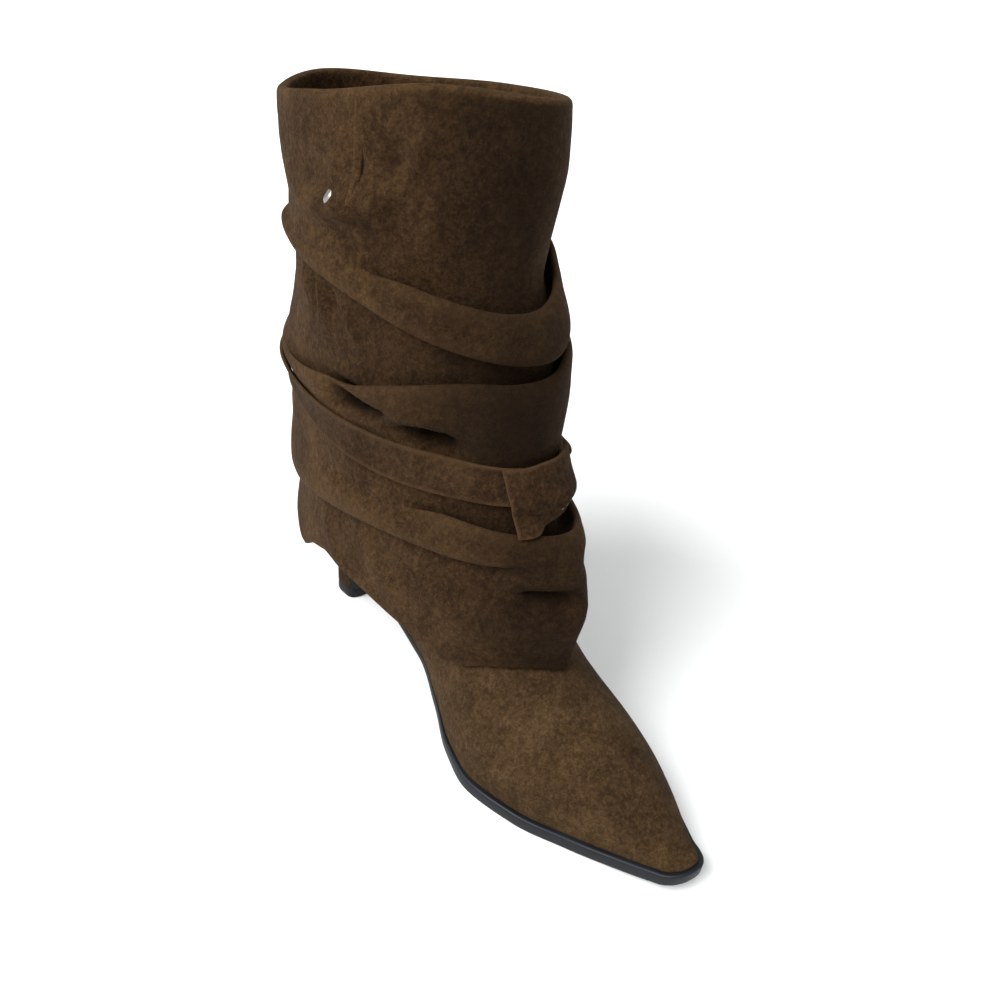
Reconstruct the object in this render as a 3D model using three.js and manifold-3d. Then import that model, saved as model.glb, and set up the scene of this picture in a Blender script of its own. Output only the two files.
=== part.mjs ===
// Left slouch boot: pointed toe, slim block heel and a folded suede sleeve round the ankle.
// Millimetres. Z is up, the toe points to -Y, the medial side is -X.
// The origin is on the floor under the middle of the heel.

import * as THREE from 'three';
import { mergeVertices } from 'three/addons/utils/BufferGeometryUtils.js';
import Module from 'manifold-3d';

const wasm = await Module();
wasm.setup();

// Last and sole
const HEEL_TO_TOE = 236;
const BALL_WIDTH = 84;
const HEEL_RISE = 55;
const TOE_SPRING = 8;
const SEAT_BACK = 24;
const TOE_ROUND = 9;
const SEAT_ROUND = 24;
const FOREFOOT_THICKNESS = 6.5;
const WAIST_THICKNESS = 3;
const SOLE_LEDGE = 2.3;
const SOLE_BEVEL = 1.2;
const INSOLE_THICKNESS = 2;
const INSOLE_TOE_SETBACK = 20;

// Upper
const INSTEP_HEIGHT = 125;
const UPPER_WALL = 1.6;
const SHAFT_HEIGHT = 270;
const COLLAR_SLOPE = 10;
const COLLAR_LENGTH = 132;
const COLLAR_WIDTH = 96;

// Heel
const TOP_LIFT_THICKNESS = 6;
const HEEL_TIP_LENGTH = 19;
const HEEL_TIP_WIDTH = 18.5;
const HEEL_SET_BACK = 2;
const BREAST_THICKNESS = 1.6;

// Sleeve
const SLEEVE_WALL = 1.6;
const TURN_IN_WALL = 1.2;
const TURN_IN_DEPTH = 11;
const RIM_RISE = 3.2;
const FOLD_DEPTH = 8;
const FOLD_LAP = 6;
const HEM_CLEARANCE = 3.5;

// Strap, its loop and the snap
const STRAP_WIDTH = 16.5;
const STRAP_THICKNESS = 2;
const STRAP_HEIGHT = 134;
const LOOP_THICKNESS = 2;
const LOOP_WIDTH = 34;
const LOOP_LENGTH = 28;
const LOOP_HEIGHT = 136;
const LOOP_TURN = 5;
const SNAP_DIAMETER = 8;
const SNAP_HEIGHT = 234;
const SNAP_TURN = 81;

// Clearance between two pieces that are glued, stitched or pressed together
const GAP = 0.3;

// The sole from heel to toe. at is a share of HEEL_TO_TOE, medial and lateral are half widths as
// shares of BALL_WIDTH, rise and spring lift the underside by shares of HEEL_RISE and TOE_SPRING,
// and tread is 1 where the sole is thick with a ledge and 0 in the waist.
const SOLE_ROWS = [
  { at: -1.0, medial: 0.155, lateral: 0.095, rise: 0, spring: 1, tread: 1 },
  { at: -0.98, medial: 0.16, lateral: 0.104, rise: 0, spring: 0.78, tread: 1 },
  { at: -0.96, medial: 0.175, lateral: 0.122, rise: 0, spring: 0.6, tread: 1 },
  { at: -0.93, medial: 0.21, lateral: 0.172, rise: 0, spring: 0.45, tread: 1 },
  { at: -0.88, medial: 0.268, lateral: 0.255, rise: 0, spring: 0.26, tread: 1 },
  { at: -0.809, medial: 0.35, lateral: 0.352, rise: 0, spring: 0.08, tread: 1 },
  { at: -0.703, medial: 0.465, lateral: 0.44, rise: 0, spring: 0, tread: 1 },
  { at: -0.597, medial: 0.512, lateral: 0.488, rise: 0, spring: 0, tread: 1 },
  { at: -0.513, medial: 0.458, lateral: 0.506, rise: 0.06, spring: 0, tread: 0.7 },
  { at: -0.428, medial: 0.35, lateral: 0.476, rise: 0.2, spring: 0, tread: 0.2 },
  { at: -0.343, medial: 0.282, lateral: 0.429, rise: 0.42, spring: 0, tread: 0 },
  { at: -0.216, medial: 0.28, lateral: 0.351, rise: 0.7, spring: 0, tread: 0 },
  { at: -0.1, medial: 0.315, lateral: 0.325, rise: 0.88, spring: 0, tread: 0 },
  { at: 0.0, medial: 0.325, lateral: 0.32, rise: 0.97, spring: 0, tread: 0 },
  { at: 0.11, medial: 0.31, lateral: 0.31, rise: 1.03, spring: 0, tread: 0 },
];

// The foot of the upper. height is its top above the feather line as a share of INSTEP_HEIGHT,
// medial and lateral are the exponents of its cross section on either side, and the two bulges
// are shares of BALL_WIDTH by which its sides stand out over the feather line.
const FOOT_ROWS = [
  { at: -0.99, height: 0.008, medial: 1.8, lateral: 1.7, medialBulge: 0, lateralBulge: 0 },
  { at: -0.966, height: 0.039, medial: 1.8, lateral: 1.7, medialBulge: 0, lateralBulge: 0 },
  { at: -0.94, height: 0.082, medial: 1.85, lateral: 1.7, medialBulge: 0, lateralBulge: 0 },
  { at: -0.911, height: 0.134, medial: 1.9, lateral: 1.7, medialBulge: 0, lateralBulge: 0 },
  { at: -0.86, height: 0.199, medial: 1.95, lateral: 1.75, medialBulge: 0, lateralBulge: 0 },
  { at: -0.771, height: 0.277, medial: 2.0, lateral: 1.85, medialBulge: 0.01, lateralBulge: 0 },
  { at: -0.699, height: 0.322, medial: 2.1, lateral: 1.9, medialBulge: 0.015, lateralBulge: 0 },
  { at: -0.636, height: 0.36, medial: 2.1, lateral: 1.9, medialBulge: 0.015, lateralBulge: 0 },
  { at: -0.551, height: 0.432, medial: 2.1, lateral: 1.95, medialBulge: 0.01, lateralBulge: 0 },
  { at: -0.466, height: 0.504, medial: 2.1, lateral: 2.0, medialBulge: 0.015, lateralBulge: 0 },
  { at: -0.381, height: 0.6, medial: 2.1, lateral: 2.0, medialBulge: 0.04, lateralBulge: 0 },
  { at: -0.297, height: 0.744, medial: 2.1, lateral: 2.0, medialBulge: 0.05, lateralBulge: 0 },
  { at: -0.17, height: 0.62, medial: 2.2, lateral: 2.1, medialBulge: 0.03, lateralBulge: 0.01 },
  { at: 0.0, height: 0.39, medial: 2.2, lateral: 2.2, medialBulge: 0.01, lateralBulge: 0.01 },
  { at: 0.085, height: 0.25, medial: 2.2, lateral: 2.2, medialBulge: 0.01, lateralBulge: 0.01 },
];

// The shaft and counter of the upper by height, a share of SHAFT_HEIGHT. front and back are
// distances from the heel's centre as shares of COLLAR_LENGTH, half is a share of COLLAR_WIDTH.
const SHAFT_ROWS = [
  { height: 0.11, front: 0.45, back: 0.158, half: 0.29 },
  { height: 0.215, front: 0.47, back: 0.17, half: 0.307 },
  { height: 0.3, front: 0.485, back: 0.182, half: 0.318 },
  { height: 0.4, front: 0.485, back: 0.178, half: 0.323 },
  { height: 0.48, front: 0.47, back: 0.174, half: 0.328 },
  { height: 0.56, front: 0.48, back: 0.182, half: 0.333 },
  { height: 0.65, front: 0.515, back: 0.197, half: 0.354 },
  { height: 0.74, front: 0.56, back: 0.22, half: 0.38 },
  { height: 0.83, front: 0.605, back: 0.235, half: 0.4 },
  { height: 0.92, front: 0.63, back: 0.25, half: 0.412 },
];

// The tube that the sleeve's folds follow. middle, halfLength and halfWidth are shares of
// COLLAR_LENGTH and COLLAR_WIDTH, and ridge is how far the front stands out over the instep.
const TUBE_ROWS = [
  { height: 0.15, middle: -0.39, halfLength: 0.72, halfWidth: 0.417, ridge: 0.06 },
  { height: 0.333, middle: -0.375, halfLength: 0.715, halfWidth: 0.427, ridge: 0.04 },
  { height: 0.444, middle: -0.356, halfLength: 0.7, halfWidth: 0.448, ridge: 0.02 },
  { height: 0.556, middle: -0.288, halfLength: 0.644, halfWidth: 0.458, ridge: 0 },
  { height: 0.689, middle: -0.277, halfLength: 0.58, halfWidth: 0.479, ridge: 0 },
  { height: 0.796, middle: -0.212, halfLength: 0.523, halfWidth: 0.49, ridge: 0.01 },
  { height: 1.0, middle: -0.19, halfLength: 0.5, halfWidth: 0.5, ridge: 0.03 },
];

// The chart of the sleeve from collar to hem. Its eight columns go round the ankle: front,
// front medial, medial, back medial, back, back lateral, lateral and front lateral.
// height is a share of SHAFT_HEIGHT, out and step are shares of FOLD_DEPTH. A step above 0 is a
// pocket: the layer below comes out and laps up over the one above. A step below 0 is a roll:
// the layer above droops over the one below. A row without a step only swells or sinks.
const SLEEVE_ROWS = [
  {
    name: 'top panel',
    height: [0.93, 0.93, 0.93, 0.93, 0.93, 0.93, 0.93, 0.93],
    out: [0.2, 0.1, 0, 0, 0, 0, 0, 0.15],
  },
  {
    name: 'panel below the snap',
    height: [0.87, 0.87, 0.87, 0.86, 0.86, 0.86, 0.87, 0.87],
    out: [0.05, 0.1, 0.3, -0.4, -0.1, 0, 0, -0.15],
  },
  {
    name: 'first pocket',
    height: [0.748, 0.762, 0.8, 0.8, 0.79, 0.79, 0.8, 0.785],
    out: [-0.1, 0, 0.1, -0.4, 0, 0, 0, -0.35],
    step: [0.85, 0.85, 0.15, 0, 0, 0.1, 0.4, 0.85],
  },
  {
    name: 'upper roll',
    height: [0.705, 0.718, 0.754, 0.755, 0.726, 0.73, 0.737, 0.73],
    out: [-0.15, -0.1, -0.1, -0.2, 0, 0, 0, -0.3],
    step: [-0.85, -0.85, -0.8, -0.55, -0.45, -0.5, -0.7, -0.85],
  },
  {
    name: 'hollow under the upper roll',
    height: [0.683, 0.68, 0.66, 0.65, 0.655, 0.667, 0.689, 0.706],
    out: [-0.7, -0.6, -0.3, -0.6, -0.1, -0.1, -0.3, -0.7],
  },
  {
    name: 'second pocket',
    height: [0.66, 0.641, 0.572, 0.552, 0.585, 0.607, 0.637, 0.682],
    out: [-0.3, -0.1, 0, 0, 0, 0, 0, -0.4],
    step: [0.85, 0.85, 0.75, 0.4, 0.4, 0.5, 0.6, 0.95],
  },
  {
    name: 'band above the strap',
    height: [0.56, 0.555, 0.524, 0.52, 0.54, 0.545, 0.55, 0.57],
    out: [-0.3, -0.7, -0.1, 0.1, 0, 0, -0.1, -0.2],
  },
  {
    name: 'under the strap',
    height: [0.496, 0.496, 0.496, 0.496, 0.496, 0.496, 0.496, 0.496],
    out: [-1.75, -1.2, -0.4, -0.5, -0.25, -0.25, -0.5, -1.25],
  },
  {
    name: 'low pocket',
    height: [0.44, 0.435, 0.425, 0.41, 0.4, 0.405, 0.42, 0.43],
    out: [-1.1, -0.75, -0.2, -0.2, -0.1, -0.1, -0.3, -0.95],
    step: [1.5, 1.0, 0.1, 0, 0, 0.1, 0.4, 1.2],
  },
  {
    name: 'lower roll',
    height: [0.4, 0.393, 0.367, 0.3, 0.285, 0.3, 0.355, 0.396],
    out: [-0.3, -0.4, -0.15, -0.25, 0, 0, -0.25, -0.4],
    step: [-0.2, -0.75, -1.0, -0.7, -0.5, -0.5, -0.6, -0.5],
  },
  {
    name: 'apron over the instep',
    height: [0.335, 0.33, 0.29, 0.245, 0.235, 0.245, 0.29, 0.335],
    out: [0.25, 0, -0.2, -0.5, -0.1, 0, -0.25, 0.15],
  },
  {
    name: 'apron near the hem',
    height: [0.26, 0.25, 0.24, 0.2, 0.205, 0.21, 0.23, 0.26],
    out: [-0.25, 0.15, -0.15, -0.3, 0, 0, -0.15, -0.2],
  },
  {
    name: 'hem',
    height: [0.202, 0.184, 0.205, 0.148, 0.165, 0.17, 0.185, 0.2],
    out: [-0.5, 0.2, -0.1, -0.15, 0, 0, -0.1, -0.3],
  },
];

// How far the collar stands over or under SHAFT_HEIGHT in the same eight directions, as a share
// of COLLAR_SLOPE.
const COLLAR_RISE = [0.8, 0.9, -0.2, -1.1, -1.0, -1.0, -0.4, 0.25];

// Soft dents and swells in the sleeve. around is degrees from the front towards the medial side,
// height and tall are shares of SHAFT_HEIGHT, wide is degrees, out is a share of FOLD_DEPTH.
const SLEEVE_DENTS = [
  { name: 'dent below the collar', around: 74, height: 0.905, wide: 22, tall: 0.035, out: -0.6 },
  { name: 'ridge under that dent', around: 72, height: 0.85, wide: 26, tall: 0.022, out: 0.45 },
  { name: 'hollow above the strap', around: 62, height: 0.568, wide: 18, tall: 0.022, out: -0.6 },
  { name: 'dent in the apron', around: 12, height: 0.345, wide: 20, tall: 0.02, out: -0.4 },
  { name: 'lateral dent', around: 285, height: 0.9, wide: 25, tall: 0.04, out: -0.5 },
  { name: 'back dent', around: 170, height: 0.83, wide: 25, tall: 0.04, out: -0.4 },
];

// Numbers of facets
const SOLE_STATIONS = 16;
const END_STATIONS = 4;
const FOOT_POINTS = 19;
const SHAFT_RINGS = 9;
const SLEEVE_COLUMNS = 36;
const HEEL_POINTS = 24;

// Where each piece wrapped round the ankle has its columns, so that neighbours stay parallel.
const columnTurn = (i) => (2 * Math.PI * i) / SLEEVE_COLUMNS;

const lerp = THREE.MathUtils.lerp;
const smoothstep = THREE.MathUtils.smoothstep;
const radians = THREE.MathUtils.degToRad;

// A smooth curve through the points (xs, ys) that never overshoots them.
function smoothCurve(xs, ys) {
  const last = xs.length - 1;
  const slopes = [];
  for (let i = 0; i < last; i++) {
    slopes.push((ys[i + 1] - ys[i]) / (xs[i + 1] - xs[i]));
  }
  const tangents = xs.map((x, i) => {
    if (i === 0) return slopes[0];
    if (i === last) return slopes[last - 1];
    const before = slopes[i - 1];
    const after = slopes[i];
    return before * after <= 0 ? 0 : (2 * before * after) / (before + after);
  });
  return (x) => {
    if (x <= xs[0]) return ys[0] + tangents[0] * (x - xs[0]);
    if (x >= xs[last]) return ys[last] + tangents[last] * (x - xs[last]);
    const i = xs.findIndex((edge) => edge > x) - 1;
    const width = xs[i + 1] - xs[i];
    const t = (x - xs[i]) / width;
    const s = 1 - t;
    return (
      ys[i] * (1 + 2 * t) * s * s +
      tangents[i] * width * t * s * s +
      ys[i + 1] * (1 + 2 * s) * t * t -
      tangents[i + 1] * width * s * t * t
    );
  };
}

function columnCurve(rows, key, column, length, size) {
  return smoothCurve(
    rows.map((row) => row[key] * length),
    rows.map((row) => row[column] * size),
  );
}

// A value of a chart's eight columns at an angle, smooth all round.
function aroundValue(columns, turn) {
  const count = columns.length;
  const place = ((((turn / (2 * Math.PI)) * count) % count) + count) % count;
  const i = Math.floor(place);
  const t = place - i;
  const at = (k) => columns[(i + k + count) % count];
  const [a, b, c, d] = [at(-1), at(0), at(1), at(2)];
  return b + 0.5 * t * (c - a + t * (2 * a - 5 * b + 4 * c - d + t * (3 * (b - c) + d - a)));
}

// A closed solid skinned over rings with equally many points. Unless the rings close on each
// other, the first and the last are capped across.
function skin(rings, looped = false) {
  const size = rings[0].length;
  const positions = rings.flat(2);
  const triangles = [];
  const count = looped ? rings.length : rings.length - 1;
  for (let r = 0; r < count; r++) {
    const here = r * size;
    const next = ((r + 1) % rings.length) * size;
    for (let i = 0; i < size; i++) {
      const j = (i + 1) % size;
      triangles.push(here + i, here + j, next + j, here + i, next + j, next + i);
    }
  }
  const cap = (start, turned) => {
    for (let i = 0; i < size / 2 - 1; i++) {
      const a = start + i;
      const b = start + i + 1;
      const c = start + size - 1 - i;
      const d = start + size - 2 - i;
      const faces = b === d ? [a, b, c] : [a, b, d, a, d, c];
      triangles.push(...(turned ? faces.reverse() : faces));
    }
  };
  if (!looped) {
    cap(0, true);
    cap((rings.length - 1) * size, false);
  }
  return facesOut(positions, triangles);
}

// An indexed geometry whose faces point outwards.
function facesOut(positions, triangles) {
  let volume = 0;
  const corner = (index) => new THREE.Vector3().fromArray(positions, index * 3);
  for (let i = 0; i < triangles.length; i += 3) {
    const a = corner(triangles[i]);
    const b = corner(triangles[i + 1]);
    const c = corner(triangles[i + 2]);
    volume += a.dot(b.cross(c));
  }
  const geometry = new THREE.BufferGeometry();
  geometry.setAttribute('position', new THREE.Float32BufferAttribute(positions, 3));
  geometry.setIndex(volume < 0 ? [...triangles].reverse() : triangles);
  return geometry;
}

function solidOf(geometry) {
  const bare = geometry.clone();
  bare.deleteAttribute('normal');
  bare.deleteAttribute('uv');
  const merged = mergeVertices(bare, 1e-4);
  return new wasm.Manifold(
    new wasm.Mesh({
      numProp: 3,
      vertProperties: new Float32Array(merged.attributes.position.array),
      triVerts: new Uint32Array(merged.index.array),
    }),
  );
}

function geometryOf(solid) {
  const mesh = solid.getMesh();
  const geometry = new THREE.BufferGeometry();
  geometry.setAttribute('position', new THREE.Float32BufferAttribute(mesh.vertProperties, 3));
  geometry.setIndex(Array.from(mesh.triVerts));
  return geometry;
}

// Lines of the sole along the foot, as functions of y.
const medialWidth = columnCurve(SOLE_ROWS, 'at', 'medial', HEEL_TO_TOE, BALL_WIDTH);
const lateralWidth = columnCurve(SOLE_ROWS, 'at', 'lateral', HEEL_TO_TOE, BALL_WIDTH);
const heelLift = columnCurve(SOLE_ROWS, 'at', 'rise', HEEL_TO_TOE, HEEL_RISE);
const toeLift = columnCurve(SOLE_ROWS, 'at', 'spring', HEEL_TO_TOE, TOE_SPRING);
const treadShare = columnCurve(SOLE_ROWS, 'at', 'tread', HEEL_TO_TOE, 1);

const soleBottom = (y) => heelLift(y) + toeLift(y);
const soleTop = (y) => soleBottom(y) + lerp(WAIST_THICKNESS, FOREFOOT_THICKNESS, treadShare(y));
const featherLine = (y) => soleTop(y) + GAP;
const ledge = (y) => SOLE_LEDGE * lerp(0.25, 1, treadShare(y));

// How much of the full width is left near a rounded end.
const endRound = (distance, radius) =>
  Math.sqrt(Math.max(0, 1 - (1 - Math.min(distance / radius, 1)) ** 2));

function soleWidth(y, side) {
  const width = side < 0 ? medialWidth(y) : lateralWidth(y);
  return width * endRound(y + HEEL_TO_TOE, TOE_ROUND) * endRound(SEAT_BACK - y, SEAT_ROUND);
}

// Stations from toe to heel, closer together where the outline is round.
function soleStations() {
  const toe = -HEEL_TO_TOE;
  const ends = [];
  for (let i = 0; i < END_STATIONS; i++) {
    ends.push(1 - Math.cos(radians((90 * (i + 0.4)) / END_STATIONS)));
  }
  const stations = ends.map((share) => toe + TOE_ROUND * share);
  const from = toe + TOE_ROUND;
  const to = SEAT_BACK - SEAT_ROUND;
  for (let i = 0; i < SOLE_STATIONS; i++) {
    stations.push(lerp(from, to, i / (SOLE_STATIONS - 1)));
  }
  return [...stations, ...ends.reverse().map((share) => SEAT_BACK - SEAT_ROUND * share)];
}

// The outline of the sole in plan from a setback behind the toe, moved inwards by inset(y). The
// medial points run from toe to heel and the lateral ones back, so that a point and its mirror
// have the same station.
function soleLoop(inset, setback = 0) {
  const stations = soleStations();
  const medial = stations.map((y) => new THREE.Vector2(-soleWidth(y, -1), y));
  const lateral = stations.map((y) => new THREE.Vector2(soleWidth(y, 1), y)).reverse();
  const loop = [...medial, ...lateral];
  const moved = loop.map((point, i) => {
    const before = loop.at(i - 1);
    const after = loop[(i + 1) % loop.length];
    const along = after.clone().sub(before).normalize();
    return point.clone().addScaledVector(new THREE.Vector2(along.y, -along.x), inset(point.y));
  });
  return moved.filter((point, i) => loop[i].y >= setback - HEEL_TO_TOE);
}

const ringAt = (loop, height) => loop.map((point) => [point.x, point.y, height(point.y)]);

// The outsole, with its edge rounded above and below.
function makeOutsole() {
  const bottom = soleBottom;
  const top = soleTop;
  const bevel = (y) => SOLE_BEVEL * lerp(0.6, 1, treadShare(y));
  const full = soleLoop(() => 0);
  const trimmed = soleLoop(bevel);
  const underside = (y) => Math.max(bottom(y), 0);
  return skin([
    ringAt(trimmed, underside),
    ringAt(full, (y) => underside(y) + bevel(y)),
    ringAt(full, (y) => top(y) - bevel(y)),
    ringAt(trimmed, top),
  ]);
}

function makeInsole() {
  const inset = (y) => ledge(y) + UPPER_WALL + 2 * GAP;
  const loop = soleLoop(inset, INSOLE_TOE_SETBACK);
  const rounded = soleLoop((y) => inset(y) + INSOLE_THICKNESS / 4, INSOLE_TOE_SETBACK);
  return skin([
    ringAt(loop, featherLine),
    ringAt(loop, (y) => featherLine(y) + INSOLE_THICKNESS / 2),
    ringAt(rounded, (y) => featherLine(y) + INSOLE_THICKNESS),
  ]);
}

// The foot of the last, from toe to heel, shrunk inwards by a wall. Its sides go on below the
// feather line by drop.
const footHeight = columnCurve(FOOT_ROWS, 'at', 'height', HEEL_TO_TOE, INSTEP_HEIGHT);
const medialSquare = columnCurve(FOOT_ROWS, 'at', 'medial', HEEL_TO_TOE, 1);
const lateralSquare = columnCurve(FOOT_ROWS, 'at', 'lateral', HEEL_TO_TOE, 1);
const medialBulge = columnCurve(FOOT_ROWS, 'at', 'medialBulge', HEEL_TO_TOE, BALL_WIDTH);
const lateralBulge = columnCurve(FOOT_ROWS, 'at', 'lateralBulge', HEEL_TO_TOE, BALL_WIDTH);

function footSections(wall, drop) {
  const loop = soleLoop((y) => ledge(y) + wall);
  const rings = [];
  for (let i = 0; i < loop.length / 2; i++) {
    const medial = loop[i];
    const lateral = loop[loop.length - 1 - i];
    const middle = (medial.y + lateral.y) / 2;
    const slope = (footHeight(middle + 1) - footHeight(middle - 1)) / 2;
    const height = footHeight(middle) - wall * Math.hypot(1, slope);
    if (height < 1) continue;
    const ring = [];
    for (let k = 0; k < FOOT_POINTS; k++) {
      const turn = (Math.PI * k) / (FOOT_POINTS - 1);
      const across = Math.cos(turn);
      const power = 2 / (across > 0 ? medialSquare(middle) : lateralSquare(middle));
      const rise = Math.abs(Math.sin(turn)) ** power;
      const half = (lateral.x - medial.x) / 2;
      const centre = (lateral.x + medial.x) / 2;
      const bulge = across > 0 ? medialBulge(middle) : lateralBulge(middle);
      const swell = bulge * 6.75 * rise * (1 - rise) ** 2;
      const reach = half * Math.abs(across) ** power + swell;
      const y = lerp(lateral.y, medial.y, (1 + across) / 2);
      ring.push([centre - Math.sign(across) * reach, y, featherLine(y) + height * rise]);
    }
    ring[0][2] -= drop;
    ring[FOOT_POINTS - 1][2] -= drop;
    rings.push(ring);
  }
  return skin(rings);
}

// Height of the foot's skin over a place in plan, or 0 beside the foot.
function footSkin(x, y) {
  const side = x < 0 ? -1 : 1;
  const half = soleWidth(y, side) - ledge(y);
  const square = side < 0 ? medialSquare(y) : lateralSquare(y);
  const share = Math.abs(x) / half;
  if (half <= 0 || share >= 1) return 0;
  return featherLine(y) + footHeight(y) * (1 - share ** square) ** (1 / square);
}

// Height on the boot for a nominal height, because the collar is higher in front.
function tilted(height, turn) {
  const share = smoothstep(height, 0.75 * SHAFT_HEIGHT, SHAFT_HEIGHT);
  return height + COLLAR_SLOPE * aroundValue(COLLAR_RISE, turn) * share;
}

// The tube that sleeve and collar follow, read at a nominal height.
const tubeMiddle = columnCurve(TUBE_ROWS, 'height', 'middle', SHAFT_HEIGHT, COLLAR_LENGTH);
const tubeLength = columnCurve(TUBE_ROWS, 'height', 'halfLength', SHAFT_HEIGHT, COLLAR_LENGTH);
const tubeWidth = columnCurve(TUBE_ROWS, 'height', 'halfWidth', SHAFT_HEIGHT, COLLAR_WIDTH);
const tubeRidge = columnCurve(TUBE_ROWS, 'height', 'ridge', SHAFT_HEIGHT, COLLAR_LENGTH);
const RIDGE_TURN = radians(-8);
const RIDGE_SPREAD = radians(22);

// A point at an angle from the front towards the medial side, out from the tube.
function tubePoint(turn, height, out) {
  const across = Math.cos(turn);
  const fromRidge = Math.atan2(Math.sin(turn - RIDGE_TURN), Math.cos(turn - RIDGE_TURN));
  const ridge = tubeRidge(height) * Math.exp(-((fromRidge / RIDGE_SPREAD) ** 2));
  return [
    -(tubeWidth(height) + out) * Math.sin(turn),
    tubeMiddle(height) - (tubeLength(height) + out + ridge) * across,
    tilted(height, turn),
  ];
}

// The shaft's rings. Below the collar they follow SHAFT_ROWS, and at the collar they lie against
// the sleeve, inside its wall.
const shaftFront = columnCurve(SHAFT_ROWS, 'height', 'front', SHAFT_HEIGHT, COLLAR_LENGTH);
const shaftBack = columnCurve(SHAFT_ROWS, 'height', 'back', SHAFT_HEIGHT, COLLAR_LENGTH);
const shaftHalf = columnCurve(SHAFT_ROWS, 'height', 'half', SHAFT_HEIGHT, COLLAR_WIDTH);

const FLARE_START = SHAFT_HEIGHT - 2.1 * TURN_IN_DEPTH;
const FLARE_END = SHAFT_HEIGHT - 1.1 * TURN_IN_DEPTH;

function shaftPoint(turn, height, wall) {
  const flare = smoothstep(height, FLARE_START, FLARE_END);
  const collar = tubePoint(turn, Math.max(height, FLARE_START), -(SLEEVE_WALL + GAP + wall));
  const low = Math.min(height, FLARE_START);
  const middle = (shaftBack(low) - shaftFront(low)) / 2;
  const halfLength = (shaftBack(low) + shaftFront(low)) / 2 - wall;
  const x = -(shaftHalf(low) - wall) * Math.sin(turn);
  const y = middle - halfLength * Math.cos(turn);
  return [lerp(x, collar[0], flare), lerp(y, collar[1], flare), tilted(height, turn)];
}

function shaftSections(wall, top) {
  const levels = [];
  const bottom = SHAFT_ROWS[0].height * SHAFT_HEIGHT;
  for (let i = 0; i < SHAFT_RINGS; i++) {
    levels.push(lerp(bottom, FLARE_START, i / (SHAFT_RINGS - 1)));
  }
  for (const share of [0.35, 0.65, 1]) {
    levels.push(lerp(FLARE_START, FLARE_END, share));
  }
  levels.push(top);
  return skin(
    levels.map((height) => {
      const ring = [];
      for (let i = 0; i < SLEEVE_COLUMNS; i++) {
        ring.push(shaftPoint(columnTurn(i), height, wall));
      }
      return ring;
    }),
  );
}

// Everything above a line that runs the length of the foot.
function above(line) {
  const far = 2 * HEEL_TO_TOE;
  const stations = [-far, ...soleStations(), far];
  const clamp = (y) => Math.min(Math.max(y, -HEEL_TO_TOE), SEAT_BACK);
  return skin(
    stations.map((y) => [
      [-far, y, line(clamp(y))],
      [far, y, line(clamp(y))],
      [far, y, far],
      [-far, y, far],
    ]),
  );
}

// The upper: foot and shaft in one hollow solid, open at the collar and under the insole.
const SHAFT_TOP = SHAFT_HEIGHT - RIM_RISE - GAP;

function makeUpper() {
  const footbed = solidOf(above(featherLine));
  const foot = solidOf(footSections(0, 0));
  const shaft = solidOf(shaftSections(0, SHAFT_TOP));
  const footRoom = solidOf(footSections(UPPER_WALL, 4 * UPPER_WALL));
  const shaftRoom = solidOf(shaftSections(UPPER_WALL, SHAFT_HEIGHT + COLLAR_SLOPE));
  const outer = foot.add(shaft.intersect(footbed));
  return geometryOf(outer.subtract(footRoom).subtract(shaftRoom));
}

// The heel in plan: round at the back, flat with round corners at the breast.
const HEEL_ROWS = [
  { height: 0.0, middle: 1, grow: 0 },
  { height: 0.3, middle: 1, grow: 0.04 },
  { height: 0.55, middle: 0.9, grow: 0.14 },
  { height: 0.75, middle: 0.5, grow: 0.36 },
  { height: 0.9, middle: -0.3, grow: 0.7 },
  { height: 1.05, middle: -1.2, grow: 1 },
];
const SEAT_LENGTH = 50;
const SEAT_WIDTH = 49;
const heelMiddle = columnCurve(HEEL_ROWS, 'height', 'middle', HEEL_RISE, HEEL_SET_BACK);
const heelGrow = columnCurve(HEEL_ROWS, 'height', 'grow', HEEL_RISE, 1);

// One level of the heel, with its breast moved back by setback.
function heelRing(height, setback) {
  const grow = heelGrow(height);
  const halfLength = lerp(HEEL_TIP_LENGTH, SEAT_LENGTH, grow) / 2;
  const halfWidth = lerp(HEEL_TIP_WIDTH, SEAT_WIDTH, grow) / 2;
  const breast = heelMiddle(height) - halfLength + setback;
  const ring = [];
  for (let i = 0; i < HEEL_POINTS; i++) {
    const turn = (2 * Math.PI * (i + 0.5)) / HEEL_POINTS;
    const across = Math.cos(turn);
    const power = across > 0 ? 0.35 : 1;
    const y = heelMiddle(height) - Math.sign(across) * halfLength * Math.abs(across) ** power;
    ring.push([-halfWidth * Math.sin(turn), Math.max(y, breast), height]);
  }
  return ring;
}

function heelSections(from, to, setback) {
  const levels = 9;
  const rings = [];
  for (let i = 0; i < levels; i++) {
    rings.push(heelRing(lerp(from, to, i / (levels - 1)), setback));
  }
  return skin(rings);
}

const HEEL_BASE = TOP_LIFT_THICKNESS + GAP;
const heelSpace = solidOf(above((y) => Math.max(soleBottom(y), 0) - GAP));

function makeHeelBlock() {
  const block = solidOf(heelSections(HEEL_BASE, 1.1 * HEEL_RISE, BREAST_THICKNESS + GAP));
  return geometryOf(block.subtract(heelSpace));
}

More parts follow.
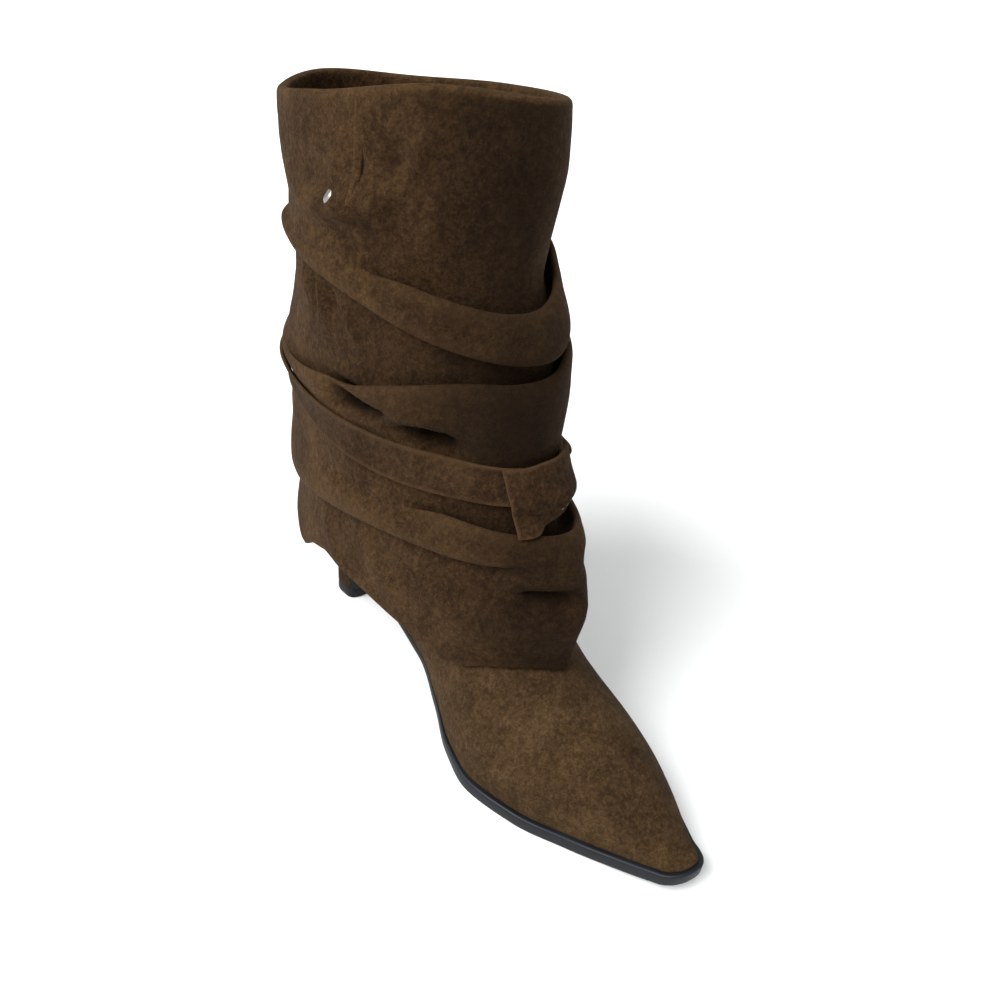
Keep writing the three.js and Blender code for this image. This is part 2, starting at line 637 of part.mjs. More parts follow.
function makeHeelBreast() {
  const whole = solidOf(heelSections(HEEL_BASE, 1.1 * HEEL_RISE, 0));
  const rings = [];
  for (const height of [HEEL_BASE / 2, ...HEEL_ROWS.slice(1).map((row) => row.height * HEEL_RISE)]) {
    const grow = heelGrow(height);
    const halfLength = lerp(HEEL_TIP_LENGTH, SEAT_LENGTH, grow) / 2;
    const front = heelMiddle(height) - halfLength;
    const back = front + BREAST_THICKNESS;
    rings.push([
      [-SEAT_WIDTH, front - SEAT_LENGTH, height],
      [SEAT_WIDTH, front - SEAT_LENGTH, height],
      [SEAT_WIDTH, back, height],
      [-SEAT_WIDTH, back, height],
    ]);
  }
  return geometryOf(whole.intersect(solidOf(skin(rings))).subtract(heelSpace));
}

function makeTopLift() {
  const rings = [];
  for (const [height, trim] of [[0, 0.6], [0.6, 0], [TOP_LIFT_THICKNESS, 0]]) {
    rings.push(
      heelRing(0, 0).map(([x, y]) => {
        const length = Math.hypot(x, y);
        return [x * (1 - trim / length), y * (1 - trim / length), height];
      }),
    );
  }
  return skin(rings);
}

function dentAt(turn, height) {
  let out = 0;
  for (const dent of SLEEVE_DENTS) {
    const offset = turn - radians(dent.around);
    const around = Math.atan2(Math.sin(offset), Math.cos(offset)) / radians(dent.wide);
    const up = (height / SHAFT_HEIGHT - dent.height) / dent.tall;
    out += dent.out * FOLD_DEPTH * Math.exp(-(around ** 2) - up ** 2);
  }
  return out * (1 - smoothstep(height, FLARE_START - TURN_IN_DEPTH, FLARE_START));
}

// The lowest height at which the hem clears the foot below it, from one column to the next.
function hemOverFoot(turn, height, out) {
  const under = [-0.5, 0, 0.5].map((step) => {
    const [x, y] = tubePoint(turn + step * columnTurn(1), height, out - SLEEVE_WALL);
    return footSkin(x, y);
  });
  return Math.max(...under) + HEM_CLEARANCE;
}

// The sleeve at an angle from collar to hem, as an outer and an inner line of (out, height). A
// row without a step is one point, a fold is four.
function sleeveLines(turn) {
  const spring = SHAFT_HEIGHT - RIM_RISE;
  const pairs = [[0, spring, -SLEEVE_WALL, spring]];
  const heights = SLEEVE_ROWS.map((row) => aroundValue(row.height, turn) * SHAFT_HEIGHT);
  const folds = heights.filter((height, i) => SLEEVE_ROWS[i].step);
  SLEEVE_ROWS.forEach((row, i) => {
    let height = heights[i];
    const out = aroundValue(row.out, turn) * FOLD_DEPTH;
    if (row.name === 'hem') height = Math.max(height, hemOverFoot(turn, height, out));
    if (!row.step) {
      pairs.push([out, height, out - SLEEVE_WALL, height]);
      return;
    }
    const step = aroundValue(row.step, turn) * FOLD_DEPTH;
    const gaps = folds.map((other) => Math.abs(other - height)).filter((gap) => gap > 0);
    const lap = Math.min(FOLD_LAP, Math.min(...gaps) / 2 - 1.6 * SLEEVE_WALL);
    pairs.push(...foldPairs(out, height, step, Math.max(lap, 0)));
  });
  const dented = (x, y) => new THREE.Vector2(x + dentAt(turn, y), y);
  return {
    outer: pairs.map(([x, y]) => dented(x, y)),
    inner: pairs.map(([, , x, y]) => dented(x, y)),
  };
}

// Four pairs of points that turn the outer line back on itself round a hollow and a lip, while
// the inner line passes below the hollow. A small step has no lap and only slopes.
function foldPairs(out, height, step, lap) {
  const size = Math.abs(step);
  const lapped = smoothstep(size, 2.4 * SLEEVE_WALL, 3.6 * SLEEVE_WALL);
  const lip = Math.min(0.7 * size, 2.7 * SLEEVE_WALL);
  const inner = -size / 2;
  const outer = size / 2;
  const slope = [-0.5, -0.17, 0.17, 0.5].map((share) => [share * size, -share * FOLD_LAP]);
  const turned = [
    [inner, -lap],
    [inner + 0.85 * (size - lip), -lap],
    [outer - lip / 2, 0.4 * lap],
    [outer, -0.8 * lap],
  ];
  const under = [
    [inner - SLEEVE_WALL, -lap],
    [inner + 0.85 * (size - lip), -lap - SLEEVE_WALL],
    [outer - 1.25 * SLEEVE_WALL, -lap - SLEEVE_WALL],
    [outer - 1.25 * SLEEVE_WALL, -lap - 1.4 * SLEEVE_WALL],
  ];
  const down = Math.sign(step);
  const pairs = slope.map(([x, y], i) => [
    out + lerp(x, turned[i][0], lapped),
    height + down * lerp(y, turned[i][1], lapped),
    out + lerp(x - SLEEVE_WALL, under[i][0], lapped),
    height + down * lerp(y, under[i][1], lapped),
  ]);
  return step < 0 ? pairs.reverse() : pairs;
}

// The sleeve hooks over the shaft's edge at the collar, with a band turned in behind it.
function sleeveProfile(turn) {
  const { outer, inner } = sleeveLines(turn);
  const bandOuter = -(SLEEVE_WALL + UPPER_WALL + 2 * GAP);
  const bandInner = bandOuter - TURN_IN_WALL;
  const spring = SHAFT_HEIGHT - RIM_RISE;
  const rim = [
    [bandOuter, spring],
    [bandOuter, SHAFT_HEIGHT - TURN_IN_DEPTH],
    [bandInner, SHAFT_HEIGHT - TURN_IN_DEPTH],
    [bandInner, spring],
    [bandInner * 0.83, SHAFT_HEIGHT - RIM_RISE * 0.25],
    [bandInner * 0.5, SHAFT_HEIGHT],
    [bandInner * 0.17, SHAFT_HEIGHT - RIM_RISE * 0.25],
  ];
  const profile = [...outer, ...inner.reverse(), ...rim.map(([x, y]) => new THREE.Vector2(x, y))];
  return profile.map((p) => tubePoint(turn, p.y, p.x));
}

function makeSleeve() {
  const rings = [];
  for (let i = 0; i < SLEEVE_COLUMNS; i++) {
    rings.push(sleeveProfile(columnTurn(i)));
  }
  return skin(rings, true);
}

// How far the sleeve stands out from the tube at a height.
function sleeveReach(turn, height) {
  const line = sleeveLines(turn).outer;
  let reach = -Infinity;
  for (let i = 0; i + 1 < line.length; i++) {
    const [a, b] = [line[i], line[i + 1]];
    if ((a.y - height) * (b.y - height) > 0 || a.y === b.y) continue;
    reach = Math.max(reach, lerp(a.x, b.x, (height - a.y) / (b.y - a.y)));
  }
  return reach;
}

// The most that the sleeve stands out near a place.
function reachNear(turn, height, spread) {
  let reach = -Infinity;
  for (const turnStep of [-1, 0, 1]) {
    for (const heightStep of [-1, -0.5, 0, 0.5, 1]) {
      const nearTurn = turn + (turnStep * Math.PI) / SLEEVE_COLUMNS;
      reach = Math.max(reach, sleeveReach(nearTurn, height + heightStep * spread));
    }
  }
  return reach;
}

// The strap lies round the sleeve and bridges its hollows.
const STRAP_FLEX = [-0.5, 0, 0.5];

function strapOut(turn, share) {
  return reachNear(turn, STRAP_HEIGHT + share * STRAP_WIDTH, STRAP_WIDTH / 8) + 2 * GAP;
}

function makeStrap() {
  const rings = [];
  for (let i = 0; i < SLEEVE_COLUMNS; i++) {
    const turn = columnTurn(i);
    const face = (extra) =>
      STRAP_FLEX.map((share) =>
        tubePoint(turn, STRAP_HEIGHT + share * STRAP_WIDTH, strapOut(turn, share) + extra),
      );
    rings.push([...face(0), ...face(STRAP_THICKNESS).reverse()]);
  }
  return skin(rings, true);
}

// The loop lies over the strap and is stitched down to the sleeve above and below it.
function makeLoop() {
  const half = Math.asin(LOOP_WIDTH / 2 / tubeWidth(STRAP_HEIGHT));
  const first = Math.round((radians(LOOP_TURN) - half) / columnTurn(1));
  const last = Math.round((radians(LOOP_TURN) + half) / columnTurn(1));
  const overSleeve = (turn, height) => reachNear(turn, height, LOOP_THICKNESS) + GAP;
  const overStrap = (turn, share) => strapOut(turn, share) + STRAP_THICKNESS + 2 * GAP;
  const strapEdge = STRAP_WIDTH / 2 + LOOP_THICKNESS / 4;
  const bottom = LOOP_HEIGHT - LOOP_LENGTH / 2;
  const top = LOOP_HEIGHT + LOOP_LENGTH / 2;
  const flat = (STRAP_HEIGHT + strapEdge + top) / 2;
  const rings = [];
  for (let i = first; i <= last; i++) {
    const turn = columnTurn(i);
    const rows = [
      [bottom, overSleeve(turn, bottom)],
      [STRAP_HEIGHT - strapEdge, overStrap(turn, -0.5)],
      [STRAP_HEIGHT, overStrap(turn, 0)],
      [STRAP_HEIGHT + strapEdge, overStrap(turn, 0.5)],
      [flat, overSleeve(turn, flat)],
      [top, overSleeve(turn, top)],
    ];
    const face = (extra) => rows.map(([height, out]) => tubePoint(turn, height, out + extra));
    rings.push([...face(0), ...face(LOOP_THICKNESS).reverse()]);
  }
  return skin(rings);
}

// The snap: a low dome on the sleeve, facing out.
function makeSnap() {
  const radius = SNAP_DIAMETER / 2;
  const profile = [
    [0, 0],
    [radius, 0],
    [radius, 0.15 * radius],
    [0.8 * radius, 0.36 * radius],
    [0.45 * radius, 0.5 * radius],
    [0, 0.55 * radius],
  ];
  return new THREE.LatheGeometry(profile.map(([x, y]) => new THREE.Vector2(x, y)), 20);
}

function placeSnap(mesh) {
  const turn = radians(SNAP_TURN);
  const reach = reachNear(turn, SNAP_HEIGHT, SNAP_DIAMETER / 2);
  const place = (turnStep, heightStep) =>
    new THREE.Vector3(...tubePoint(turn + turnStep, SNAP_HEIGHT + heightStep, reach + GAP));
  const across = place(0.01, 0).sub(place(-0.01, 0));
  const up = place(0, 1).sub(place(0, -1));
  const outwards = up.cross(across).normalize();
  mesh.position.copy(place(0, 0));
  mesh.quaternion.setFromUnitVectors(new THREE.Vector3(0, 1, 0), outwards);
}

const PIECES = {
  outsole: { make: makeOutsole, color: 0x1a1c22, roughness: 0.55, metalness: 0 },
  heel_block: { make: makeHeelBlock, color: 0x4a3a28, roughness: 0.95, metalness: 0 },
  heel_breast: { make: makeHeelBreast, color: 0x18191d, roughness: 0.5, metalness: 0 },
  top_lift: { make: makeTopLift, color: 0x141417, roughness: 0.7, metalness: 0 },
  insole: { make: makeInsole, color: 0x2b2a2c, roughness: 0.8, metalness: 0 },
  upper: { make: makeUpper, color: 0x57462f, roughness: 0.95, metalness: 0 },
  slouch_sleeve: { make: makeSleeve, color: 0x4d3d2a, roughness: 0.95, metalness: 0 },
  ankle_strap: { make: makeStrap, color: 0x4a3b29, roughness: 0.95, metalness: 0 },
  strap_loop: { make: makeLoop, color: 0x4f402c, roughness: 0.95, metalness: 0 },
  snap: { make: makeSnap, place: placeSnap, color: 0xc9c9c6, roughness: 0.3, metalness: 1 },
};

const boot = new THREE.Group();
for (const [name, { make, place, ...look }] of Object.entries(PIECES)) {
  const mesh = new THREE.Mesh(make(), new THREE.MeshStandardMaterial(look));
  mesh.name = name;
  if (place) place(mesh);
  boot.add(mesh);
}

export default boot;
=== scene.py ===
import math

import bmesh
import bpy
import numpy as np
from mathutils import Matrix, Vector, noise


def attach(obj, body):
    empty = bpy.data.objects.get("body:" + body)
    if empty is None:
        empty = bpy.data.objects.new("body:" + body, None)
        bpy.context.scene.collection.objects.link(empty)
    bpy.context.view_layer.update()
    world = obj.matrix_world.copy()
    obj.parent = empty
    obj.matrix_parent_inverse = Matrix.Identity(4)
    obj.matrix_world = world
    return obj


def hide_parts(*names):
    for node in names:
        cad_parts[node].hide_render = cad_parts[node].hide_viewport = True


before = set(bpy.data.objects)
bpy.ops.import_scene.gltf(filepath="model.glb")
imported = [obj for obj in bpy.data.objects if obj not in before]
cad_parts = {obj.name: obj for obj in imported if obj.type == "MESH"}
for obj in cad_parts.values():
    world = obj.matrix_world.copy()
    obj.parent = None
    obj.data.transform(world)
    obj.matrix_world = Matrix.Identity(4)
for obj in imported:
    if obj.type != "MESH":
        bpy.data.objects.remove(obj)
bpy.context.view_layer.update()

# Left slouch boot. Lengths are in millimetres until a mesh is made. The toe points to -Y, the
# medial side is -X and the origin is on the floor under the middle of the heel.
MM = 0.001

# Last and sole
HEEL_TO_TOE = 236
BALL_WIDTH = 84
HEEL_RISE = 55
TOE_SPRING = 8
SEAT_BACK = 24
TOE_ROUND = 9
SEAT_ROUND = 24
FOREFOOT_THICKNESS = 6.5
WAIST_THICKNESS = 3
SOLE_LEDGE = 2.3
SOLE_BEVEL = 1.2
GAP = 0.3

# Upper
INSTEP_HEIGHT = 125
UPPER_WALL = 1.6
SHAFT_HEIGHT = 270
COLLAR_SLOPE = 10
COLLAR_LENGTH = 132
COLLAR_WIDTH = 96

# Heel
TOP_LIFT_THICKNESS = 6
HEEL_TIP_LENGTH = 19
HEEL_TIP_WIDTH = 18.5
HEEL_SET_BACK = 2
BREAST_THICKNESS = 1.6
SEAT_LENGTH = 50
SEAT_WIDTH = 49

# Sleeve
SLEEVE_WALL = 1.6
TURN_IN_WALL = 1.2
TURN_IN_DEPTH = 11
RIM_RISE = 3.2
FOLD_DEPTH = 8
FOLD_LAP = 6.5
HEM_CLEARANCE = 1.6

# Strap, tab and snap
STRAP_THICKNESS = 1.8
TAB_THICKNESS = 1.8
SNAP_DIAMETER = 7.5
SNAP_TURN = 81
SNAP_HEIGHT = 234

# The sole from toe to heel: station, medial and lateral half width, heel rise, toe spring, tread
SOLE_ROWS = np.array([
    [-1.0, 0.155, 0.095, 0, 1, 1],
    [-0.98, 0.16, 0.104, 0, 0.78, 1],
    [-0.96, 0.175, 0.122, 0, 0.6, 1],
    [-0.93, 0.21, 0.172, 0, 0.45, 1],
    [-0.88, 0.268, 0.255, 0, 0.26, 1],
    [-0.809, 0.35, 0.352, 0, 0.08, 1],
    [-0.703, 0.465, 0.44, 0, 0, 1],
    [-0.597, 0.512, 0.488, 0, 0, 1],
    [-0.513, 0.458, 0.506, 0.06, 0, 0.7],
    [-0.428, 0.35, 0.476, 0.2, 0, 0.2],
    [-0.343, 0.282, 0.429, 0.42, 0, 0],
    [-0.216, 0.28, 0.351, 0.7, 0, 0],
    [-0.1, 0.315, 0.325, 0.88, 0, 0],
    [0.0, 0.325, 0.32, 0.97, 0, 0],
    [0.11, 0.31, 0.31, 1.03, 0, 0],
])

# The foot: station, height, medial and lateral exponent, medial and lateral bulge
FOOT_ROWS = np.array([
    [-0.99, 0.008, 1.8, 1.7, 0, 0],
    [-0.966, 0.039, 1.8, 1.7, 0, 0],
    [-0.94, 0.082, 1.85, 1.7, 0, 0],
    [-0.911, 0.134, 1.9, 1.7, 0, 0],
    [-0.86, 0.199, 1.95, 1.75, 0, 0],
    [-0.771, 0.277, 2.0, 1.85, 0.01, 0],
    [-0.699, 0.322, 2.1, 1.9, 0.015, 0],
    [-0.636, 0.36, 2.1, 1.9, 0.015, 0],
    [-0.551, 0.432, 2.1, 1.95, 0.01, 0],
    [-0.466, 0.504, 2.1, 2.0, 0.015, 0],
    [-0.381, 0.6, 2.1, 2.0, 0.04, 0],
    [-0.297, 0.744, 2.1, 2.0, 0.05, 0],
    [-0.17, 0.62, 2.2, 2.1, 0.03, 0.01],
    [0.0, 0.39, 2.2, 2.2, 0.01, 0.01],
    [0.085, 0.25, 2.2, 2.2, 0.01, 0.01],
])

# The shaft: height, front, back, half width
SHAFT_ROWS = np.array([
    [0.11, 0.45, 0.158, 0.29],
    [0.215, 0.47, 0.17, 0.307],
    [0.3, 0.485, 0.182, 0.318],
    [0.4, 0.485, 0.178, 0.323],
    [0.48, 0.47, 0.174, 0.328],
    [0.56, 0.48, 0.182, 0.333],
    [0.65, 0.515, 0.197, 0.354],
    [0.74, 0.56, 0.22, 0.38],
    [0.83, 0.605, 0.235, 0.4],
    [0.92, 0.63, 0.25, 0.412],
])

# The tube of the sleeve: height, middle, half length, half width, ridge in front
TUBE_ROWS = np.array([
    [0.15, -0.39, 0.72, 0.417, 0.06],
    [0.333, -0.375, 0.715, 0.427, 0.04],
    [0.444, -0.356, 0.7, 0.448, 0.02],
    [0.556, -0.288, 0.644, 0.458, 0],
    [0.689, -0.277, 0.58, 0.479, 0],
    [0.796, -0.212, 0.523, 0.49, 0.01],
    [1.0, -0.19, 0.5, 0.5, 0.03],
])

# The chart of the sleeve from collar to hem, in eight directions from the front round by the
# medial side. Each row has its heights as shares of SHAFT_HEIGHT, its distances out and, at a
# fold, its steps as shares of FOLD_DEPTH. A step above 0 is a pocket, one below 0 is a roll that
# droops over what is under it.
SLEEVE_CHART = [
    # Top panel
    ([0.93] * 8, [0.2, 0.1, 0, 0, 0, 0, 0, 0.15]),
    # Panel below the snap
    ([0.87, 0.87, 0.87, 0.86, 0.86, 0.86, 0.87, 0.87], [0.05, 0.1, 0.3, -0.4, -0.1, 0, 0, -0.15]),
    # First pocket
    ([0.748, 0.762, 0.8, 0.8, 0.79, 0.79, 0.8, 0.785], [-0.1, 0, 0.1, -0.4, 0, 0, 0, -0.35],
     [0.85, 0.85, 0.15, 0, 0, 0.1, 0.4, 0.85]),
    # Upper roll
    ([0.705, 0.718, 0.754, 0.755, 0.726, 0.73, 0.737, 0.73],
     [-0.15, -0.1, -0.1, -0.2, 0, 0, 0, -0.3],
     [-0.85, -0.85, -0.8, -0.55, -0.45, -0.5, -0.7, -0.85]),
    # Hollow under the upper roll
    ([0.683, 0.68, 0.66, 0.65, 0.655, 0.667, 0.689, 0.706],
     [-0.7, -0.6, -0.3, -0.6, -0.1, -0.1, -0.3, -0.7]),
    # Second pocket
    ([0.66, 0.641, 0.572, 0.552, 0.585, 0.607, 0.637, 0.682], [-0.3, -0.1, 0, 0, 0, 0, 0, -0.4],
     [0.85, 0.85, 0.75, 0.4, 0.4, 0.5, 0.6, 0.95]),
    # Band above the strap
    ([0.56, 0.555, 0.524, 0.52, 0.54, 0.545, 0.55, 0.57],
     [-0.3, -0.7, -0.1, 0.1, 0, 0, -0.1, -0.2]),
    # Under the strap
    ([0.496] * 8, [-1.75, -1.2, -0.4, -0.5, -0.25, -0.25, -0.5, -1.25]),
    # Low pocket
    ([0.44, 0.435, 0.425, 0.41, 0.4, 0.405, 0.42, 0.43],
     [-1.1, -0.75, -0.2, -0.2, -0.1, -0.1, -0.3, -0.95],
     [1.5, 1.0, 0.1, 0, 0, 0.1, 0.4, 1.2]),
    # Lower roll
    ([0.4, 0.393, 0.367, 0.3, 0.285, 0.3, 0.355, 0.396],
     [-0.3, -0.4, -0.15, -0.25, 0, 0, -0.25, -0.4],
     [-0.2, -0.75, -1.0, -0.7, -0.5, -0.5, -0.6, -0.5]),
    # Apron over the instep
    ([0.335, 0.33, 0.29, 0.245, 0.235, 0.245, 0.29, 0.335],
     [0.25, 0, -0.2, -0.5, -0.1, 0, -0.25, 0.15]),
    # Apron near the hem
    ([0.26, 0.25, 0.24, 0.2, 0.205, 0.21, 0.23, 0.26],
     [-0.25, 0.15, -0.15, -0.3, 0, 0, -0.15, -0.2]),
]
# The hem's distance out as a share of FOLD_DEPTH, in the same eight directions
HEM_OUT = [-0.5, 0.2, -0.1, -0.15, 0, 0, -0.1, -0.3]
# The hem all round: degrees from the front and height in mm, with the flap's corner at 130
HEM_PLACES = [
    (0, 54.5), (20, 51), (45, 49.7), (70, 53), (85, 55.3), (100, 56), (108, 56), (119, 49),
    (128, 39.5), (133, 38.3), (145, 40), (180, 44.5), (225, 46), (270, 50), (315, 54), (360, 54.5),
]

# How far the collar stands over or under SHAFT_HEIGHT in the same eight directions, as a share
# of COLLAR_SLOPE
COLLAR_RISE = [0.8, 0.9, -0.2, -1.1, -1.0, -1.0, -0.4, 0.25]

# Soft dents and swells: degrees from the front, height, width in degrees, height and depth in mm
SLEEVE_DENTS = [
    (53, 244, 11, 7.5, -6.8),  # dent below the collar
    (95, 240, 12, 8, -2.5),  # hollow beside the seam
    (77, 235, 4.0, 7, 1.8),  # swell in front of the snap
    (83, 235, 4.0, 6, -1.4),  # hollow under the snap
    (56, 150, 11, 4.0, -11.0),  # hollow above the strap
    (55, 160, 15, 5.0, 2.5),  # swell over that hollow
    (83, 153, 9, 3.6, -10.0),  # second hollow above the strap
    (82, 162, 12, 4.0, 2.0),  # swell over the second hollow
    (10, 92, 17, 4.6, -10.0),  # dent in the apron
    (10, 103, 20, 4, 2.0),  # swell over that dent
    (14, 80, 22, 8, 1.8),  # swell under that dent
    (285, 243, 25, 11, -4.0),  # lateral dent
    (170, 224, 25, 11, -3.2),  # back dent
    (270, 152, 20, 5, -3.5),  # lateral hollow above the strap
    (200, 152, 22, 5, -3.0),  # back hollow above the strap
    (300, 88, 18, 6, -3.0),  # lateral apron dent
    (225, 70, 18, 6, -2.5),  # back apron dent
]

# Ridges, and creases below 0: places (degrees, height) each runs through, half width and height
SLEEVE_CREASES = [
    # ridge under the dent
    ([(106, 226), (89, 228), (79, 230), (68, 233), (59, 238), (52, 243), (48, 250), (45, 258)],
     4.4, 5.2),
    ([(84, 236), (80, 242), (76, 252)], 2.4, 1.3),  # fold from the snap to the seam
    ([(113, 198), (111, 182)], 1.7, 2.0),  # pucker 1
    ([(106, 198), (105, 178)], 1.5, -2.2),  # pucker 2
    ([(100, 198), (98, 174)], 1.7, 2.3),  # pucker 3
    ([(94, 198), (92, 178)], 1.5, -2.2),  # pucker 4
    ([(88, 197), (84, 184), (79, 174)], 1.7, 2.0),  # pucker 5
    ([(93, 145), (84, 149), (76, 152), (68, 156)], 2.2, -4.5),  # crease over the strap
    ([(80, 146), (67, 153), (61, 158), (54, 161), (46, 158)], 2.6, 2.6),  # fold over the hollow
    ([(58, 146), (50, 152), (45, 148)], 2.2, -3.5),  # crease in the hollow
    ([(44, 150), (40, 158), (38, 166)], 3.0, -1.2),  # crease beside the tab
    ([(30, 91), (11, 93), (-6, 98)], 2.0, -2.5),  # crease in the apron dent
    ([(110, 78), (104, 66), (98, 56)], 3.0, 1.4),  # drag from the roll
    ([(92, 88), (82, 74), (70, 62)], 4.0, 1.2),  # drag on the apron
    ([(40, 246), (30, 226), (22, 208)], 7.0, -1.2),  # drag on the top panel
    ([(300, 246), (315, 228), (330, 214)], 6.0, -1.3),  # lateral drag on the top panel
    ([(262, 224), (280, 228), (298, 238), (306, 252)], 5.5, 2.6),  # lateral ridge
    ([(150, 212), (170, 208), (190, 210), (212, 220)], 5.0, 1.8),  # back ridge
    ([(255, 146), (275, 150), (295, 156)], 2.4, -2.6),  # lateral crease over the strap
    ([(170, 148), (190, 150), (212, 154)], 2.4, -2.2),  # back crease over the strap
    ([(262, 190), (260, 176)], 1.8, 1.2),  # lateral pucker 1
    ([(270, 190), (269, 174)], 1.8, -1.2),  # lateral pucker 2
    ([(278, 190), (279, 176)], 1.8, 1.2),  # lateral pucker 3
    ([(262, 84), (276, 72), (290, 60)], 4.0, 1.4),  # lateral drag on the apron
]

# The strap in the same eight directions: height of its middle and its width
STRAP_MIDDLE = [138.5, 136.2, 133.2, 134, 134, 134, 134.5, 137.5]
STRAP_BREADTH = [14, 15.5, 16.5, 13.5, 15, 16, 16, 15]

# Fineness: columns round the ankle, samples for each control point of the sleeve's profile,
# stations along the foot and at each of its ends, points across it, points round the shaft and
# the heel, and levels of the sleeve's inside
SLEEVE_COLUMNS = 270
SAMPLES_PER_POINT = 4
FOOT_STATIONS = 90
END_STATIONS = 12
FOOT_POINTS = 61
SHAFT_POINTS = 120
HEEL_POINTS = 72
INNER_LEVELS = 40

# The mean radius of the ankle, for lengths along it
ANKLE_RADIUS = 52


def smooth_curve(xs, ys):
    """A smooth curve through the points (xs, ys) that never overshoots them."""
    slopes = [(ys[i + 1] - ys[i]) / (xs[i + 1] - xs[i]) for i in range(len(xs) - 1)]
    tangents = [slopes[0]]
    for before, after in zip(slopes, slopes[1:]):
        tangents.append(0 if before * after <= 0 else 2 * before * after / (before + after))
    tangents.append(slopes[-1])

    def at(x):
        if x <= xs[0]:
            return ys[0] + tangents[0] * (x - xs[0])
        if x >= xs[-1]:
            return ys[-1] + tangents[-1] * (x - xs[-1])
        i = next(k for k, edge in enumerate(xs) if edge > x) - 1
        width = xs[i + 1] - xs[i]
        t = (x - xs[i]) / width
        s = 1 - t
        return (
            ys[i] * (1 + 2 * t) * s * s
            + tangents[i] * width * t * s * s
            + ys[i + 1] * (1 + 2 * s) * t * t
            - tangents[i + 1] * width * s * t * t
        )

    return at


def column_curves(rows, length, sizes):
    """One smooth curve for each column of a table after its first."""
    xs = list(rows[:, 0] * length)
    return [smooth_curve(xs, list(rows[:, k + 1] * size)) for k, size in enumerate(sizes)]


def around_value(columns, turn):
    """A value of the chart's eight columns at an angle, smooth all round."""
    count = len(columns)
    place = (turn / math.tau * count) % count
    i = math.floor(place)
    t = place - i
    a, b, c, d = (columns[(i + k) % count] for k in (-1, 0, 1, 2))
    return b + 0.5 * t * (c - a + t * (2 * a - 5 * b + 4 * c - d + t * (3 * (b - c) + d - a)))


def mix(a, b, t):
    return a + (b - a) * t


def ease(x, low, high):
    t = min(max((x - low) / (high - low), 0), 1)
    return t * t * (3 - 2 * t)


def turn_gap(a, b):
    """The signed angle from b to a."""
    return math.atan2(math.sin(a - b), math.cos(a - b))


def column_turn(i):
    return math.tau * i / SLEEVE_COLUMNS


def column_at(degrees):
    return round(degrees / 360 * SLEEVE_COLUMNS) % SLEEVE_COLUMNS


medial_width, lateral_width, heel_lift, toe_lift, tread_share = column_curves(
    SOLE_ROWS, HEEL_TO_TOE, [BALL_WIDTH, BALL_WIDTH, HEEL_RISE, TOE_SPRING, 1]
)
foot_height, medial_square, lateral_square, medial_bulge, lateral_bulge = column_curves(
    FOOT_ROWS, HEEL_TO_TOE, [INSTEP_HEIGHT, 1, 1, BALL_WIDTH, BALL_WIDTH]
)
shaft_front, shaft_back, shaft_half = column_curves(
    SHAFT_ROWS, SHAFT_HEIGHT, [COLLAR_LENGTH, COLLAR_LENGTH, COLLAR_WIDTH]
)
tube_middle, tube_length, tube_width, tube_ridge = column_curves(
    TUBE_ROWS, SHAFT_HEIGHT, [COLLAR_LENGTH, COLLAR_LENGTH, COLLAR_WIDTH, COLLAR_LENGTH]
)


def sole_bottom(y):
    return heel_lift(y) + toe_lift(y)


def sole_top(y):
    return sole_bottom(y) + mix(WAIST_THICKNESS, FOREFOOT_THICKNESS, tread_share(y))


def feather_line(y):
    return sole_top(y) + GAP


def ledge(y):
    return SOLE_LEDGE * mix(0.25, 1, tread_share(y))


def end_round(distance, radius):
    return math.sqrt(max(0, 1 - (1 - min(distance / radius, 1)) ** 2))


def sole_width(y, side):
    width = medial_width(y) if side < 0 else lateral_width(y)
    return width * end_round(y + HEEL_TO_TOE, TOE_ROUND) * end_round(SEAT_BACK - y, SEAT_ROUND)


def sole_stations():
    """Stations from toe to heel, closer together where the outline is round."""
    ends = [1 - math.cos(math.pi / 2 * (i + 0.3) / END_STATIONS) for i in range(END_STATIONS)]
    toe = [-HEEL_TO_TOE + TOE_ROUND * share for share in ends]
    start, stop = -HEEL_TO_TOE + TOE_ROUND, SEAT_BACK - SEAT_ROUND
    middle = [mix(start, stop, i / (FOOT_STATIONS - 1)) for i in range(FOOT_STATIONS)]
    return toe + middle + [SEAT_BACK - SEAT_ROUND * share for share in reversed(ends)]


def sole_loop(inset):
    """The outline of the sole in plan, moved inwards by inset(y)."""
    stations = sole_stations()
    loop = [(-sole_width(y, -1), y) for y in stations]
    loop += [(sole_width(y, 1), y) for y in reversed(stations)]
    moved = []
    for i, (x, y) in enumerate(loop):
        before, after = loop[i - 1], loop[(i + 1) % len(loop)]
        along = Vector((after[0] - before[0], after[1] - before[1])).normalized()
        moved.append((x + along.y * inset(y), y - along.x * inset(y)))
    return moved


def foot_skin(x, y):
    """Height of the foot's skin over a place in plan, or 0 beside the foot."""
    side = -1 if x < 0 else 1
    half = sole_width(y, side) - ledge(y)
    if half <= 0 or abs(x) >= half:
        return 0
    square = medial_square(y) if side < 0 else lateral_square(y)
    return feather_line(y) + foot_height(y) * (1 - (abs(x) / half) ** square) ** (1 / square)


def tilted(height, turn):
    """Height on the boot for a nominal height, because the collar is higher in front."""
    share = ease(height, 0.75 * SHAFT_HEIGHT, SHAFT_HEIGHT)
    return height + COLLAR_SLOPE * around_value(COLLAR_RISE, turn) * share


RIDGE_TURN = math.radians(-8)
RIDGE_SPREAD = math.radians(22)


